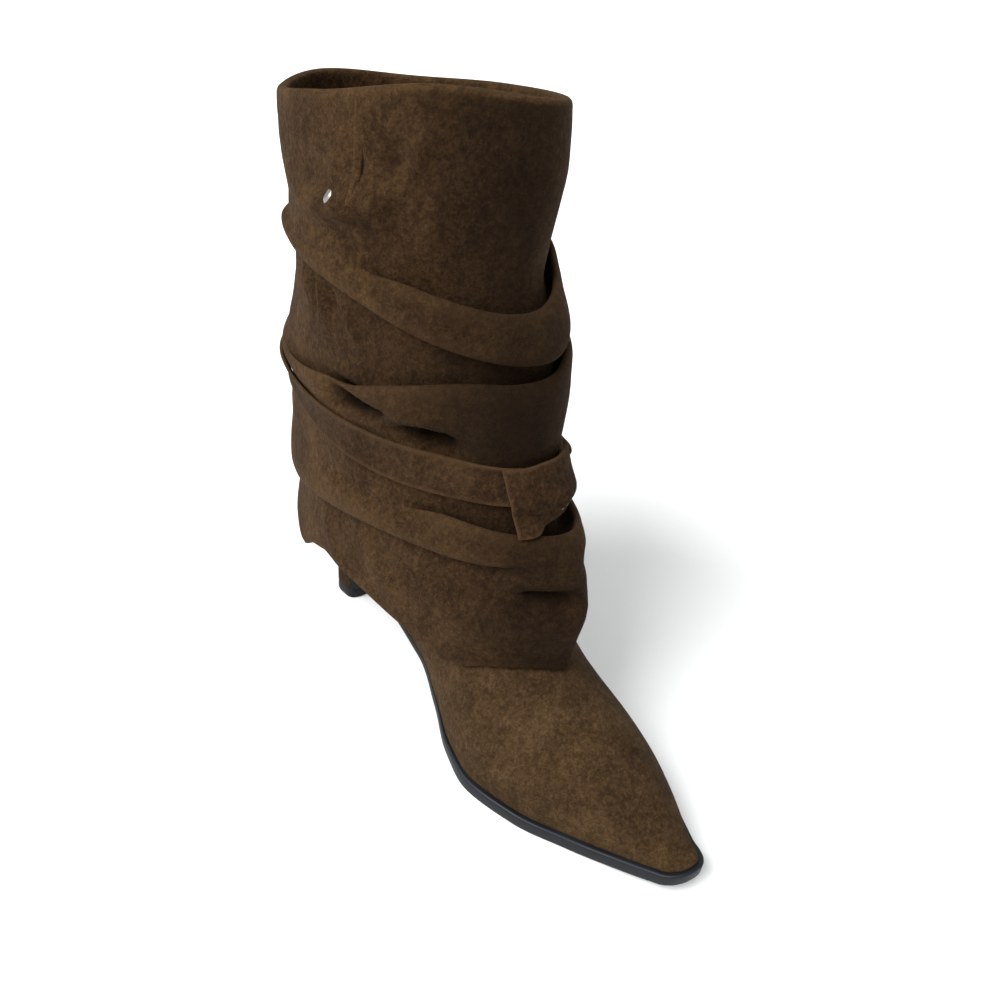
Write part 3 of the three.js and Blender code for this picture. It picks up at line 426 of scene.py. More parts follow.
def tube_point(turn, height, out):
    """A point at an angle from the front towards the medial side, out from the tube."""
    ridge = tube_ridge(height) * math.exp(-((turn_gap(turn, RIDGE_TURN) / RIDGE_SPREAD) ** 2))
    return Vector((
        -(tube_width(height) + out) * math.sin(turn),
        tube_middle(height) - (tube_length(height) + out + ridge) * math.cos(turn),
        tilted(height, turn),
    ))


FLARE_START = SHAFT_HEIGHT - 2.1 * TURN_IN_DEPTH
FLARE_END = SHAFT_HEIGHT - 1.1 * TURN_IN_DEPTH


# Meshes


def placed(name, data):
    """An object in the scene."""
    made = bpy.data.objects.new(name, data)
    bpy.context.scene.collection.objects.link(made)
    return made


def smooth(mesh):
    for face in mesh.polygons:
        face.use_smooth = True


def mesh_object(name, points, faces):
    """A smooth mesh object from points in millimetres."""
    mesh = bpy.data.meshes.new(name)
    mesh.from_pydata([tuple(MM * c for c in p) for p in points], [], faces)
    mesh.validate()
    smooth(mesh)
    return placed(name, mesh)


def face_outwards(made, merge):
    """Joins doubles closer than merge and turns every face of a closed mesh outwards."""
    work = bmesh.new()
    work.from_mesh(made.data)
    if merge:
        bmesh.ops.remove_doubles(work, verts=work.verts, dist=merge * MM)
    bmesh.ops.recalc_face_normals(work, faces=work.faces)
    work.to_mesh(made.data)
    work.free()
    made.data.update()
    return made


def ring_quads(count, size, looped=False):
    """The faces between each of count rings of points and the next."""
    faces = []
    for r in range(count if looped else count - 1):
        here, there = r * size, (r + 1) % count * size
        for i in range(size):
            j = (i + 1) % size
            faces.append((here + i, here + j, there + j, there + i))
    return faces


def skinned(name, rings, looped=False, merge=0.001):
    """A closed mesh over rings with equally many points, capped unless the rings close."""
    size = len(rings[0])
    faces = ring_quads(len(rings), size, looped)
    if not looped:
        for start in (0, (len(rings) - 1) * size):
            for i in range(size // 2 - 1 + size % 2):
                a, b = start + i, start + i + 1
                c, d = start + size - 1 - i, start + size - 2 - i
                faces.append((a, b, c) if b == d else (a, b, d, c))
    made = mesh_object(name, [p for ring in rings for p in ring], faces)
    return face_outwards(made, merge)


def draped(name, profiles, looped=False, painted_shade=()):
    """A closed mesh on the tube over profiles of (turn, height, out, paleness of rubbed edges and
    painted highlight), with painted shade for each point.
    """
    rings = [[tube_point(*row[:3]) for row in profile] for profile in profiles]
    made = skinned(name, rings, looped, merge=0)
    wear_and_highlight = [row[3] for profile in profiles for row in profile]
    # Attributes for the material: paler rubbed edges, on fold crests also a painted highlight, and
    # painted shade.
    for tag, values in (("wear_and_highlight", wear_and_highlight), ("painted_shade", painted_shade or [0] * len(wear_and_highlight))):
        layer = made.data.attributes.new(tag, "FLOAT", "POINT")
        layer.data.foreach_set("value", values)
    return made


def finish_piece(made, material, sharp, slot, *replaced):
    """Sets the material and the edges sharper than an angle, hangs the piece on the root and hides
    the parts that it replaces. The slot is not used.
    """
    if material:
        made.data.materials.append(material)
    if sharp:
        made.data.set_sharp_from_angle(angle=math.radians(sharp))
    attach(made, "root")
    if replaced:
        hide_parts(*replaced)


def combined(base, cutter, operation):
    """base with a boolean of cutter, whose inner faces take the cutter's materials."""
    step = base.modifiers.new(operation, "BOOLEAN")
    step.operation = operation
    step.solver = "EXACT"
    step.material_mode = "TRANSFER"
    step.object = cutter
    evaluated = base.evaluated_get(bpy.context.evaluated_depsgraph_get())
    mesh = bpy.data.meshes.new_from_object(evaluated)
    base.modifiers.remove(step)
    base.data = mesh
    bpy.data.objects.remove(cutter)
    return base


# Shader trees


def set_input(tree, slot, value):
    """Links a field to an input, or sets the input's value."""
    if isinstance(value, Field):
        tree.links.new(value.socket, slot)
    else:
        slot.default_value = value


class Field:
    """A socket whose values are worked out with Python's own signs."""

    def __init__(self, tree, socket):
        self.tree = tree
        self.socket = socket

    def math(self, operation, *others):
        made = self.tree.nodes.new("ShaderNodeMath")
        made.operation = operation
        for slot, value in zip(made.inputs, (self, *others)):
            set_input(self.tree, slot, value)
        return Field(self.tree, made.outputs[0])

    def __add__(self, other):
        return self.math("ADD", other)

    __radd__ = __add__

    def __mul__(self, other):
        return self.math("MULTIPLY", other)

    def __sub__(self, other):
        return self.math("SUBTRACT", other)

    def __pow__(self, other):
        return self.math("POWER", other)

    def clamped(self):
        return self.math("MAXIMUM", 0.0).math("MINIMUM", 1.0)


class Finish:
    """A material on one Principled shader."""

    def __init__(self, name, **constants):
        self.material = bpy.data.materials.new(name)
        self.material.use_nodes = True
        self.tree = self.material.node_tree
        self.shader = self.tree.nodes["Principled BSDF"]
        for socket, value in constants.items():
            self.shader.inputs[socket.replace("_", " ")].default_value = value
        self.place = self.node("ShaderNodeTexCoord", {}, {}, "Object")

    def node(self, kind, settings, inputs, output=0):
        made = self.tree.nodes.new(kind)
        for key, value in settings.items():
            setattr(made, key, value)
        for key, value in inputs.items():
            set_input(self.tree, made.inputs[key], value)
        return Field(self.tree, made.outputs[output])

    def noise(self, size, detail, roughness, stretch=None, distortion=0.0):
        """Noise with features about size millimetres across."""
        place = self.place
        if stretch:
            place = self.node("ShaderNodeMapping", {}, {"Vector": place, "Scale": stretch})
        inputs = {"Vector": place, "Scale": 1 / MM / size, "Detail": detail}
        inputs.update({"Roughness": roughness, "Distortion": distortion})
        return self.node("ShaderNodeTexNoise", {}, inputs)

    def spread(self, field, low, high):
        """field as a share that is 0 up to low and 1 from high."""
        share = self.node("ShaderNodeValToRGB", {}, {"Fac": field})
        for element, place in zip(share.socket.node.color_ramp.elements, (low, high)):
            element.position = place
        return share

    def tag(self, name):
        return self.node("ShaderNodeAttribute", {"attribute_name": name}, {}, "Fac")

    def blend(self, a, b, share):
        """The colour a where share is 0, and b where it is 1."""
        a, b = (c if isinstance(c, Field) else (*c, 1) for c in (a, b))
        return self.node("ShaderNodeMix", {"data_type": "RGBA"}, {"Factor": share, 6: a, 7: b}, 2)

    def feed(self, socket, field):
        self.tree.links.new(field.socket, self.shader.inputs[socket])

    def relief(self, height, depth, strength):
        """Bump from a height field that is depth millimetres deep."""
        inputs = {"Height": height, "Distance": depth * MM, "Strength": strength}
        self.feed("Normal", self.node("ShaderNodeBump", {}, inputs))


# How dark the painted shade in the sleeve's hollows and over its front is at its darkest, as a share
# of its dark colour
PAINTED_SHADE_SHARE = 0.45


def suede(name, dark, base, light, wear_and_highlight=0.0):
    """Brushed suede: cloudy patches and fine nap; with a wear share, also paler raised edges as
    rubbed wear and a painted highlight, and painted shade in hollows and over the front.
    """
    sheen = {"Sheen_Weight": 0.03, "Sheen_Roughness": 0.4, "Sheen_Tint": (0.75, 0.52, 0.3, 1)}
    made = Finish(name, Specular_IOR_Level=0.06, **sheen)
    clouds = made.spread(made.noise(36, 6.0, 0.62, distortion=0.5), 0.34, 0.66)
    strokes = made.spread(made.noise(9, 5.0, 0.62, stretch=(1.0, 1.0, 0.5)), 0.36, 0.66)
    flecks = made.spread(made.noise(2.6, 4.0, 0.7), 0.36, 0.66)
    fuzz = made.spread(made.noise(1.0, 3.0, 0.75), 0.36, 0.64)
    patch = (clouds * 0.32 + strokes * 0.22 + flecks * 0.34 + fuzz * 0.24 - 0.06).clamped()
    colour = made.blend(made.blend(dark, base, patch), light, (patch ** 2.4) * 0.7)
    colour = made.blend(colour, light, fuzz * flecks * 0.28)
    if wear_and_highlight:
        # Paler rubbed edges; on fold crests this is also a painted highlight
        colour = made.blend(colour, light, (made.tag("wear_and_highlight") * wear_and_highlight).clamped())
        # Painted shade in fold hollows, dents and over the front
        painted_shade_colour = tuple(PAINTED_SHADE_SHARE * c for c in dark)
        colour = made.blend(colour, painted_shade_colour, made.tag("painted_shade").clamped())
    made.feed("Base Color", colour)
    made.feed("Roughness", 0.86 + fuzz * 0.12)
    made.relief(fuzz * 0.55 + flecks * 0.6 + strokes * 0.8, 0.45, 0.85)
    return made.material


def black_sole(name, roughness):
    """Satin black with faint smears."""
    dark, light = (0.0022, 0.0028, 0.004), (0.0065, 0.0078, 0.0105)
    made = Finish(name, Specular_IOR_Level=0.2)
    grain = made.noise(0.9, 4.0, 0.6)
    smear = made.spread(made.noise(22, 3.0, 0.5), 0.35, 0.7)
    made.feed("Base Color", made.blend(dark, light, smear * 0.6 + grain * 0.3))
    made.feed("Roughness", (roughness + smear * 0.12 + grain * 0.08).clamped())
    made.relief(grain, 0.05, 0.5)
    return made.material


def grained(name, dark, light, patches, grain, roughness, bump, **constants):
    """A plain material: one noise for the colour, one for the roughness and the bump."""
    made = Finish(name, **constants)
    fine = made.noise(*grain)
    made.feed("Base Color", made.blend(dark, light, made.noise(*patches)))
    made.feed("Roughness", roughness + fine * 0.2)
    made.relief(fine, *bump)
    return made.material


SLEEVE_SUEDE = suede(
    "sleeve suede", (0.0088, 0.0039, 0.0014), (0.0315, 0.0158, 0.0062), (0.082, 0.0455, 0.0195), 0.3
)
STRAP_SUEDE = suede(
    "strap suede", (0.007, 0.003, 0.0012), (0.0225, 0.0112, 0.0045), (0.06, 0.033, 0.015), 0.5
)
VAMP_SUEDE = suede(
    "vamp suede", (0.0135, 0.0068, 0.0027), (0.0385, 0.0212, 0.0088), (0.083, 0.0495, 0.0232)
)
HEEL_SUEDE = suede(
    "heel suede", (0.0105, 0.0052, 0.0022), (0.027, 0.0146, 0.0063), (0.062, 0.037, 0.018)
)
SOLE_BLACK = black_sole("sole edge", 0.4)
LIFT_BLACK = black_sole("heel lift rubber", 0.5)
LINING = grained(
    "dark lining", (0.018, 0.019, 0.021), (0.05, 0.052, 0.056),
    (30, 3.0, 0.5), (0.8, 3.0, 0.6), 0.7, (0.12, 0.6), Specular_IOR_Level=0.25
)
METAL = grained(
    "snap metal", (0.22, 0.21, 0.19), (0.42, 0.41, 0.38),
    (0.7, 4.0, 0.65), (0.7, 4.0, 0.65), 0.3, (0.02, 0.4), Metallic=1.0
)
THREAD = grained(
    "seam thread", (0.09, 0.06, 0.035), (0.2, 0.14, 0.085),
    (0.35, 2.0, 0.6), (0.35, 2.0, 0.6), 0.7, (0.1, 0.6), Specular_IOR_Level=0.3
)


# Sole, insole and heel

BEVEL_STEPS = 5


def make_sole():
    def bevel(y):
        return SOLE_BEVEL * mix(0.6, 1, tread_share(y))

    def underside(y):
        return max(sole_bottom(y), 0)

    def ring(inset, base, rise):
        outline = sole_loop(lambda y: bevel(y) * inset)
        return [(x, y, base(y) + bevel(y) * rise) for x, y in outline]

    lower, upper = [], []
    for i in range(BEVEL_STEPS + 1):
        turn = math.pi / 2 * i / BEVEL_STEPS
        falling, rising = 1 - math.sin(turn), 1 - math.cos(turn)
        lower.append(ring(falling, underside, rising))
        upper.append(ring(rising, sole_top, -falling))
    sole = skinned("black_sole", lower + upper)
    finish_piece(sole, SOLE_BLACK, 50, "sole_black", "outsole")


# The heel from its tip to the seat: height, set back and how far it has grown to the seat's size
HEEL_ROWS = np.array([
    [0.0, 1, 0],
    [0.3, 1, 0.04],
    [0.55, 0.9, 0.14],
    [0.75, 0.5, 0.36],
    [0.9, -0.3, 0.7],
    [1.05, -1.2, 1],
])
heel_middle, heel_grow = column_curves(HEEL_ROWS, HEEL_RISE, [HEEL_SET_BACK, 1])
HEEL_LEVELS = 48
BREAST_LEVELS = 40
# How blunt the heel's front is: 1 is round, towards 0 is square
FRONT_POWER = 0.35
# The wearing lift's levels: height, and how far its edge is set in
LIFT_LEVELS = [(0, 0.9), (0.12, 0.5), (0.4, 0.15), (0.8, 0), (5.6, 0), (5.9, 0.1), (6, 0.3)]


def heel_ring(height, start, stop, trim=0.0):
    """One level of the heel between two distances from its breast, under the sole."""
    grow = heel_grow(height)
    half_length = mix(HEEL_TIP_LENGTH, SEAT_LENGTH, grow) / 2 - trim
    half_width = mix(HEEL_TIP_WIDTH, SEAT_WIDTH, grow) / 2 - trim
    breast = heel_middle(height) - half_length
    ring = []
    for i in range(HEEL_POINTS):
        turn = math.tau * (i + 0.5) / HEEL_POINTS
        across = math.cos(turn)
        power = FRONT_POWER if across > 0 else 1
        y = heel_middle(height) - math.copysign(half_length * abs(across) ** power, across)
        y = min(max(y, breast + start), breast + stop)
        roof = max(sole_bottom(y), 0) - GAP
        ring.append((-half_width * math.sin(turn), y, min(height, roof)))
    return ring


def make_heel():
    base = TOP_LIFT_THICKNESS + GAP
    levels = [base + 1.1 * HEEL_RISE * i / (HEEL_LEVELS - 1) for i in range(HEEL_LEVELS)]
    far = 3 * SEAT_LENGTH
    block = skinned("covered_heel", [heel_ring(z, BREAST_THICKNESS + GAP, far) for z in levels])
    finish_piece(block, HEEL_SUEDE, 40, "heel_suede", "heel_block")
    rings = [heel_ring(z, 0, BREAST_THICKNESS) for z in levels[:BREAST_LEVELS]]
    breast = skinned("heel_front", rings)
    finish_piece(breast, SOLE_BLACK, 40, "sole_black", "heel_breast")
    rings = []
    for height, trim in LIFT_LEVELS:
        rings.append([(x, y, height) for x, y, _ in heel_ring(0, 0, far, trim)])
    lift = skinned("wearing_lift", rings)
    finish_piece(lift, LIFT_BLACK, 50, "sole_black", "top_lift")


# Upper

# Brings the greatest value of rise * (1 - rise) ** 2 to 1
BULGE_SCALE = 6.75
# Lower sections at the ends of the foot are left out
LEAST_HEIGHT = 0.6


def foot_rings(wall, drop):
    """Sections across the foot, in by a wall, with their ends let down by drop."""
    loop = sole_loop(lambda y: ledge(y) + wall)
    rings = []
    for i in range(len(loop) // 2):
        (mx, my), (lx, ly) = loop[i], loop[len(loop) - 1 - i]
        middle = (my + ly) / 2
        slope = (foot_height(middle + 1) - foot_height(middle - 1)) / 2
        height = foot_height(middle) - wall * math.hypot(1, slope)
        if height < LEAST_HEIGHT:
            continue
        ring = []
        for k in range(FOOT_POINTS):
            across = math.cos(math.pi * k / (FOOT_POINTS - 1))
            medial = across > 0
            power = 2 / (medial_square(middle) if medial else lateral_square(middle))
            rise = abs(math.sin(math.pi * k / (FOOT_POINTS - 1))) ** power
            bulge = medial_bulge(middle) if medial else lateral_bulge(middle)
            swell = bulge * BULGE_SCALE * rise * (1 - rise) ** 2
            reach = (lx - mx) / 2 * abs(across) ** power + swell
            y = mix(ly, my, (1 + across) / 2)
            x = (lx + mx) / 2 - math.copysign(reach, across)
            ring.append((x, y, feather_line(y) + height * rise))
        for k in (0, FOOT_POINTS - 1):
            x, y, z = ring[k]
            ring[k] = (x, y, z - drop)
        rings.append(ring)
    return rings


def shaft_point(turn, height, wall):
    """A point of the shaft that follows the sleeve's inside at the collar, dents too."""
    flare = ease(height, FLARE_START, FLARE_END)
    dent = min(relief_at(turn, max(height, FLARE_START)), 0)
    collar = tube_point(turn, max(height, FLARE_START), dent - SLEEVE_WALL - GAP - wall)
    low = min(height, FLARE_START)
    middle = (shaft_back(low) - shaft_front(low)) / 2
    half_length = (shaft_back(low) + shaft_front(low)) / 2 - wall
    x = -(shaft_half(low) - wall) * math.sin(turn)
    y = middle - half_length * math.cos(turn)
    return (mix(x, collar[0], flare), mix(y, collar[1], flare), tilted(height, turn))


def shaft_rings(wall, top):
    bottom = SHAFT_ROWS[0][0] * SHAFT_HEIGHT
    levels = [mix(bottom, FLARE_START, i / 30) for i in range(31)]
    levels += [mix(FLARE_START, FLARE_END, i / 8) for i in range(1, 9)] + [top]
    turns = [math.tau * i / SHAFT_POINTS for i in range(SHAFT_POINTS)]
    return [[shaft_point(turn, z, wall) for turn in turns] for z in levels]


def make_upper():
    foot = skinned("boot_upper", foot_rings(0, 0))
    shaft = skinned("shaft", shaft_rings(0, SHAFT_HEIGHT - RIM_RISE - GAP))
    foot_room = skinned("foot room", foot_rings(UPPER_WALL, 4 * UPPER_WALL))
    shaft_room = skinned("shaft room", shaft_rings(UPPER_WALL, SHAFT_HEIGHT + COLLAR_SLOPE))
    far = 2 * HEEL_TO_TOE
    stations = [-far] + sole_stations() + [far]
    under = []
    for y in stations:
        z = feather_line(min(max(y, -HEEL_TO_TOE), SEAT_BACK))
        under.append([(-far, y, z), (far, y, z), (far, y, far), (-far, y, far)])
    footbed = skinned("space over the sole", under)
    for piece in (foot, shaft, footbed):
        piece.data.materials.append(VAMP_SUEDE)
    for piece in (foot_room, shaft_room):
        piece.data.materials.append(LINING)
    shaft = combined(shaft, footbed, "INTERSECT")
    upper = combined(foot, shaft, "UNION")
    upper = combined(upper, foot_room, "DIFFERENCE")
    upper = combined(upper, shaft_room, "DIFFERENCE")
    face_outwards(upper, 0.002)
    smooth(upper.data)
    finish_piece(upper, None, 40, "upper_suede", "upper")


# Sleeve

# The hide's unevenness: height, size and seed of its waves, the last of which reaches the collar
HIDE_WAVES = [(0.9, 34, 1), (0.35, 11, 2)]
COLLAR_WAVE = (0.25, 26, 3)
# Dents, creases and the other waves fade out between these distances under the collar
FADE_FROM = 16
FADE_TO = 7
# Dents and creases end at this many times their width
RELIEF_REACH = 3


def noise_at(x, y, z, seed):
    """Smooth noise between -1 and 1, shifted to another part of it by each seed."""
    return noise.noise(Vector((x + 17.3 * seed, y - 9.1 * seed, z)))


def wave(turn, height, size, seed):
    """Noise over the sleeve with features about size millimetres across."""
    x, y = ANKLE_RADIUS * math.sin(turn), ANKLE_RADIUS * math.cos(turn)
    return noise_at(x / size, y / size, height / size, seed)


def crease_share(degrees, height, places):
    """The distance from a crease, and how far it has risen from its ends there."""
    nearest = 1e9
    ends = 1.0
    for k, ((a0, z0), (a1, z1)) in enumerate(zip(places, places[1:])):
        span = math.radians(a1 - a0) * ANKLE_RADIUS
        rise = z1 - z0
        px = math.radians((degrees - a0 + 180) % 360 - 180) * ANKLE_RADIUS
        pz = height - z0
        t = min(max((px * span + pz * rise) / (span * span + rise * rise), 0), 1)
        gap = math.hypot(px - t * span, pz - t * rise)
        if gap < nearest:
            nearest = gap
            along = (k + t) / (len(places) - 1)
            ends = min(1, 4 * min(along, 1 - along) + 0.15)
    return nearest, ends


def relief_at(turn, height):
    """Dents, creases and the hide's own unevenness, out from the tube."""
    out = 0.0
    degrees = math.degrees(turn) % 360
    for around, high, wide, tall, depth in SLEEVE_DENTS:
        across = (degrees - around + 180) % 360 - 180
        power = (across / wide) ** 2 + ((height - high) / tall) ** 2
        if power < RELIEF_REACH ** 2:
            out += depth * math.exp(-power)
    for places, half_width, depth in SLEEVE_CREASES:
        nearest, ends = crease_share(degrees, height, places)
        if nearest < RELIEF_REACH * half_width:
            out += depth * ends * math.exp(-((nearest / half_width) ** 2))
    fade = 1 - ease(height, SHAFT_HEIGHT - FADE_FROM, SHAFT_HEIGHT - FADE_TO)
    out += sum(share * wave(turn, height, size, seed) for share, size, seed in HIDE_WAVES)
    share, size, seed = COLLAR_WAVE
    return out * fade + share * wave(turn, height, size, seed)


def fold_points(out, height, step, lap):
    """Control points of one fold, as a pocket or turned for a roll: out, height, paleness of rubbed
    edges and painted highlight, and painted shade.
    """
    size = abs(step)
    lapped = ease(size, 1.6 * SLEEVE_WALL, 4.2 * SLEEVE_WALL)
    lip = min(0.72 * size, 2.9 * SLEEVE_WALL)
    inner, outer = -size / 2, size / 2
    hollow = size - lip
    # Rows of out, up, paleness and shade: the crest is paler as rubbed wear and a painted highlight,
    # and the fold's hollow takes painted shade.
    turned = [
        (inner, 1.1 * lap, 0, 0),
        (inner - 0.6, 0.0, 0, 0.5),
        (inner - 0.8, -1.2 * lap, 0, 1),
        (inner + 0.55 * hollow, -1.5 * lap, 0, 1),
        (outer - 1.0 * lip, -0.7 * lap, 0, 1),
        (outer - 0.88 * lip, 0.35 * lap, 0.1, 0.3),
        (outer - 0.5 * lip, 0.95 * lap, 1, 0),
        (outer + 0.02 * lip, 0.35 * lap, 0.8, 0),
        (outer + 0.05 * lip, -0.9 * lap, 0.15, 0),
    ]
    count = len(turned)
    points = []
    for i, (x, y, wear_and_highlight, painted_shade) in enumerate(turned):
        share = i / (count - 1) - 0.5
        points.append((
            mix(share * size, x, lapped),
            mix(-share * FOLD_LAP * 1.6, y, lapped),
            wear_and_highlight * lapped,
            painted_shade * lapped,
        ))
    down = 1 if step >= 0 else -1
    if down < 0:
        points.reverse()
    return [(out + x, height + down * y, wear_and_highlight, painted_shade) for x, y, wear_and_highlight, painted_shade in points]


def hem_over_foot(turn, height, out):
    """The lowest height at which the hem clears the foot's skin."""
    nudge = math.pi / 60
    return HEM_CLEARANCE + max(
        foot_skin(*tube_point(turn + k * nudge, height, out - SLEEVE_WALL)[:2]) for k in (-1, 0, 1)
    )


def outer_controls(turn):
    """Control points of the outer side, from the rim to the hem: out, height, paleness of rubbed
    edges and painted highlight, and painted shade.
    """
    points = [(-0.1, SHAFT_HEIGHT - RIM_RISE * 0.7, 0.5, 0), (0, SHAFT_HEIGHT - RIM_RISE - 2, 0, 0)]
    heights = [around_value(row[0], turn) * SHAFT_HEIGHT for row in SLEEVE_CHART]
    folds = [z for z, row in zip(heights, SLEEVE_CHART) if len(row) == 3]
    for z, (_, outs, *steps) in zip(heights, SLEEVE_CHART):
        out = around_value(outs, turn) * FOLD_DEPTH
        if not steps:
            points.append((out, z, 0, 0))
        else:
            step = around_value(steps[0], turn) * FOLD_DEPTH
            gap = min(abs(other - z) for other in folds if other != z)
            lap = max(min(FOLD_LAP, 0.5 * gap - 1.2 * SLEEVE_WALL), 0.4)
            points += fold_points(out, z, step, lap)
    out = around_value(HEM_OUT, turn) * FOLD_DEPTH
    z = float(np.interp(math.degrees(turn), *np.transpose(HEM_PLACES)))
    z = max(z, hem_over_foot(turn, z, out))
    return points + [(out, z + 4, 0, 0), (out, z + 1.2, 0.2, 0), (out - 0.1, z + 0.2, 0.6, 0)]


def spline(points, samples):
    """A uniform cubic B-spline that starts and ends at its end points."""
    array = np.array(points, float)
    array = np.vstack([2 * array[0] - array[1], array, 2 * array[-1] - array[-2]])
    made = []
    last = len(array) - 3
    for i in range(last):
        a, b, c, d = array[i:i + 4]
        for k in range(samples + (i == last - 1)):
            t = k / samples
            made.append((
                (1 - t) ** 3 * a
                + (3 * t ** 3 - 6 * t ** 2 + 4) * b
                + (-3 * t ** 3 + 3 * t ** 2 + 3 * t + 1) * c
                + t ** 3 * d
            ) / 6)
    return np.array(made)


# Painted shade in dents: a dent deeper than SHADE_FROM darkens, and is darkest SHADE_DEPTH further
# down
SHADE_FROM = 1.2
SHADE_DEPTH = 5.5


def lobe(turn, middle, spread):
    """1 at an angle in degrees, falling off round it."""
    return math.exp(-((turn_gap(turn, math.radians(middle)) / math.radians(spread)) ** 2))


def painted_shade_and_patches(turn, height):
    """Painted shade, more over the front and between the upper roll and the strap, with random
    patches of tone.
    """
    front = lobe(turn, 12, 38)
    middle = ease(height, 138, 150) * (1 - ease(height, 182, 200))
    middle *= lobe(turn, 25, 55)
    patches = 0.12 * wave(turn, height, 24, 5)
    return 0.66 * front + 0.5 * middle * (1 - 0.6 * front) + patches


def sleeve_grid():
    """The sleeve's outer side: for each column its rows of out, height, paleness of rubbed edges and
    painted highlight, and painted shade in hollows, dents and over the front.
    """
    grid = []
    for i in range(SLEEVE_COLUMNS):
        turn = column_turn(i)
        line = spline(outer_controls(turn), SAMPLES_PER_POINT)
        for row in line:
            relief = relief_at(turn, row[1])
            # Painted shade: dents deeper than SHADE_FROM darken, and so do the front and the band
            # above the strap
            painted_dent_shade = min((-relief - SHADE_FROM) / SHADE_DEPTH, 1)
            row[0] += relief
            row[3] = max(row[3], painted_dent_shade, painted_shade_and_patches(turn, row[1]))
        grid.append(line)
    return np.array(grid)


def inner_wall(line):
    """The inside of the sleeve as equally many points that stay behind every fold."""
    levels = np.linspace(line[-1, 1], SHAFT_HEIGHT - RIM_RISE - 6, INNER_LEVELS)
    reach = 1.3 * (levels[1] - levels[0])
    wall = []
    for z in levels:
        near = line[np.abs(line[:, 1] - z) < reach, 0]
        wall.append((near.min() - SLEEVE_WALL, z, 0))
    return wall


# The rim from inside to outside: share of the turned-in band's distance, drop as a share of
# RIM_RISE, and wear
RIM_ROWS = [
    (0.98, 0.55, 0.2), (0.9, 0.2, 0.4), (0.74, 0.04, 0.6), (0.5, 0, 0.6), (0.28, 0.06, 0.6),
    (0.1, 0.28, 0.5),
]


def make_sleeve(grid):
    profiles = []
    painted_shade = []
    band_outer = -(SLEEVE_WALL + UPPER_WALL + 2 * GAP)
    band_inner = band_outer - TURN_IN_WALL
    spring = SHAFT_HEIGHT - RIM_RISE
    for i, line in enumerate(grid):
        turn = column_turn(i)
        band_low = SHAFT_HEIGHT - TURN_IN_DEPTH + 0.5 * noise_at(2 * turn, 0, 0, 4)
        profile = [(out, z, wear_and_highlight) for out, z, wear_and_highlight, _ in line] + inner_wall(line) + [
            (-SLEEVE_WALL, spring - 3, 0),
            (-SLEEVE_WALL, spring, 0),
            (band_outer, spring, 0),
            (band_outer, band_low, 0),
            (band_outer - 0.5 * TURN_IN_WALL, band_low - 0.4, 0),
            (band_inner, band_low, 0),
            (band_inner, spring - 4, 0),
            (band_inner, spring - 1, 0),
        ]
        for share, drop, wear_and_highlight in RIM_ROWS:
            profile.append((band_inner * share, SHAFT_HEIGHT - RIM_RISE * drop, wear_and_highlight))
        profiles.append([(turn, z, out, wear_and_highlight) for out, z, wear_and_highlight in profile])
        # Painted shade from the outer side's rows; none on the inside and the rim.
        painted_shade += list(line[:, 3]) + [0] * (len(profile) - len(line))
    made = draped("folded_sleeve", profiles, looped=True, painted_shade=painted_shade)
    finish_piece(made, SLEEVE_SUEDE, None, "sleeve_suede", "slouch_sleeve")


# Strap, tab, snap and seam

# How far up and down the strap, the tab and the snap look for what stands out furthest
STRAP_LOOK = 2.2
TAB_LOOK = 1.6
SNAP_LOOK = 1.2
STRAP_ROWS = 9
# Columns to each side that the strap and the tab bridge, and passes that then soften them
STRAP_SPAN = 3
STRAP_PASSES = 14
TAB_SPAN = 2
TAB_PASSES = 8


def reach_of(line, height, look):
    """The most that a column stands out near a height."""
    near = line[np.abs(line[:, 1] - height) < look]
    return near[:, 0].max() if len(near) else line[-1, 0]


def softened(values, passes, axis=0):
    for _ in range(passes):
        values = (np.roll(values, 1, axis) + 2 * values + np.roll(values, -1, axis)) / 4
    return values


def strap_edges(grid):
    """For each column the heights of the strap's rows and how far out they lie."""
    shares = np.linspace(-0.5, 0.5, STRAP_ROWS)
    heights = np.zeros((SLEEVE_COLUMNS, STRAP_ROWS))
    outs = np.zeros_like(heights)
    for i, line in enumerate(grid):
        turn = column_turn(i)
        heights[i] = around_value(STRAP_MIDDLE, turn) + shares * around_value(STRAP_BREADTH, turn)
        outs[i] = [reach_of(line, z, STRAP_LOOK) for z in heights[i]]
    shifts = range(-STRAP_SPAN, STRAP_SPAN + 1)
    outs = softened(np.max([np.roll(outs, shift, axis=0) for shift in shifts], axis=0), STRAP_PASSES)
    flat = outs.mean(axis=1, keepdims=True)
    return heights, np.maximum(mix(outs, flat, 0.35), outs - 0.4) + GAP


# The strap's rounded edges: how far past the face, how far out and wear
STRAP_EDGE = [(0.25, 0.3, 1), (0.3, STRAP_THICKNESS - 0.4, 1.4), (0, STRAP_THICKNESS - 0.05, 1)]


def make_strap(heights, outs):
    profiles = []
    for i in range(SLEEVE_COLUMNS):
        face = list(zip(heights[i], outs[i]))
        (low, low_out), (high, high_out) = face[0], face[-1]
        profile = [(z, out, 0) for z, out in face]
        profile += [(high + past, high_out + out, wear_and_highlight) for past, out, wear_and_highlight in STRAP_EDGE]
        profile += [(z, out + STRAP_THICKNESS, 0) for z, out in face[-2:0:-1]]
        profile += [(low - past, low_out + out, wear_and_highlight) for past, out, wear_and_highlight in STRAP_EDGE[::-1]]
        profiles.append([(column_turn(i), *row) for row in profile])
    made = draped("ankle_band", profiles, looped=True)
    finish_piece(made, STRAP_SUEDE, 50, "strap_suede", "ankle_strap")


# The tab: degrees on either side of the front, height of its top and lower end at both sides,
# and how fast it falls in towards the sleeve past the strap
TAB_SIDES = [-22, 27]
TAB_TOP = [149, 146.5]
TAB_BOTTOM = [130, 121]
TAB_FALL = 0.35
TAB_COLUMNS = 35
TAB_ROWS = 25
TAB_WEAR = 1.2


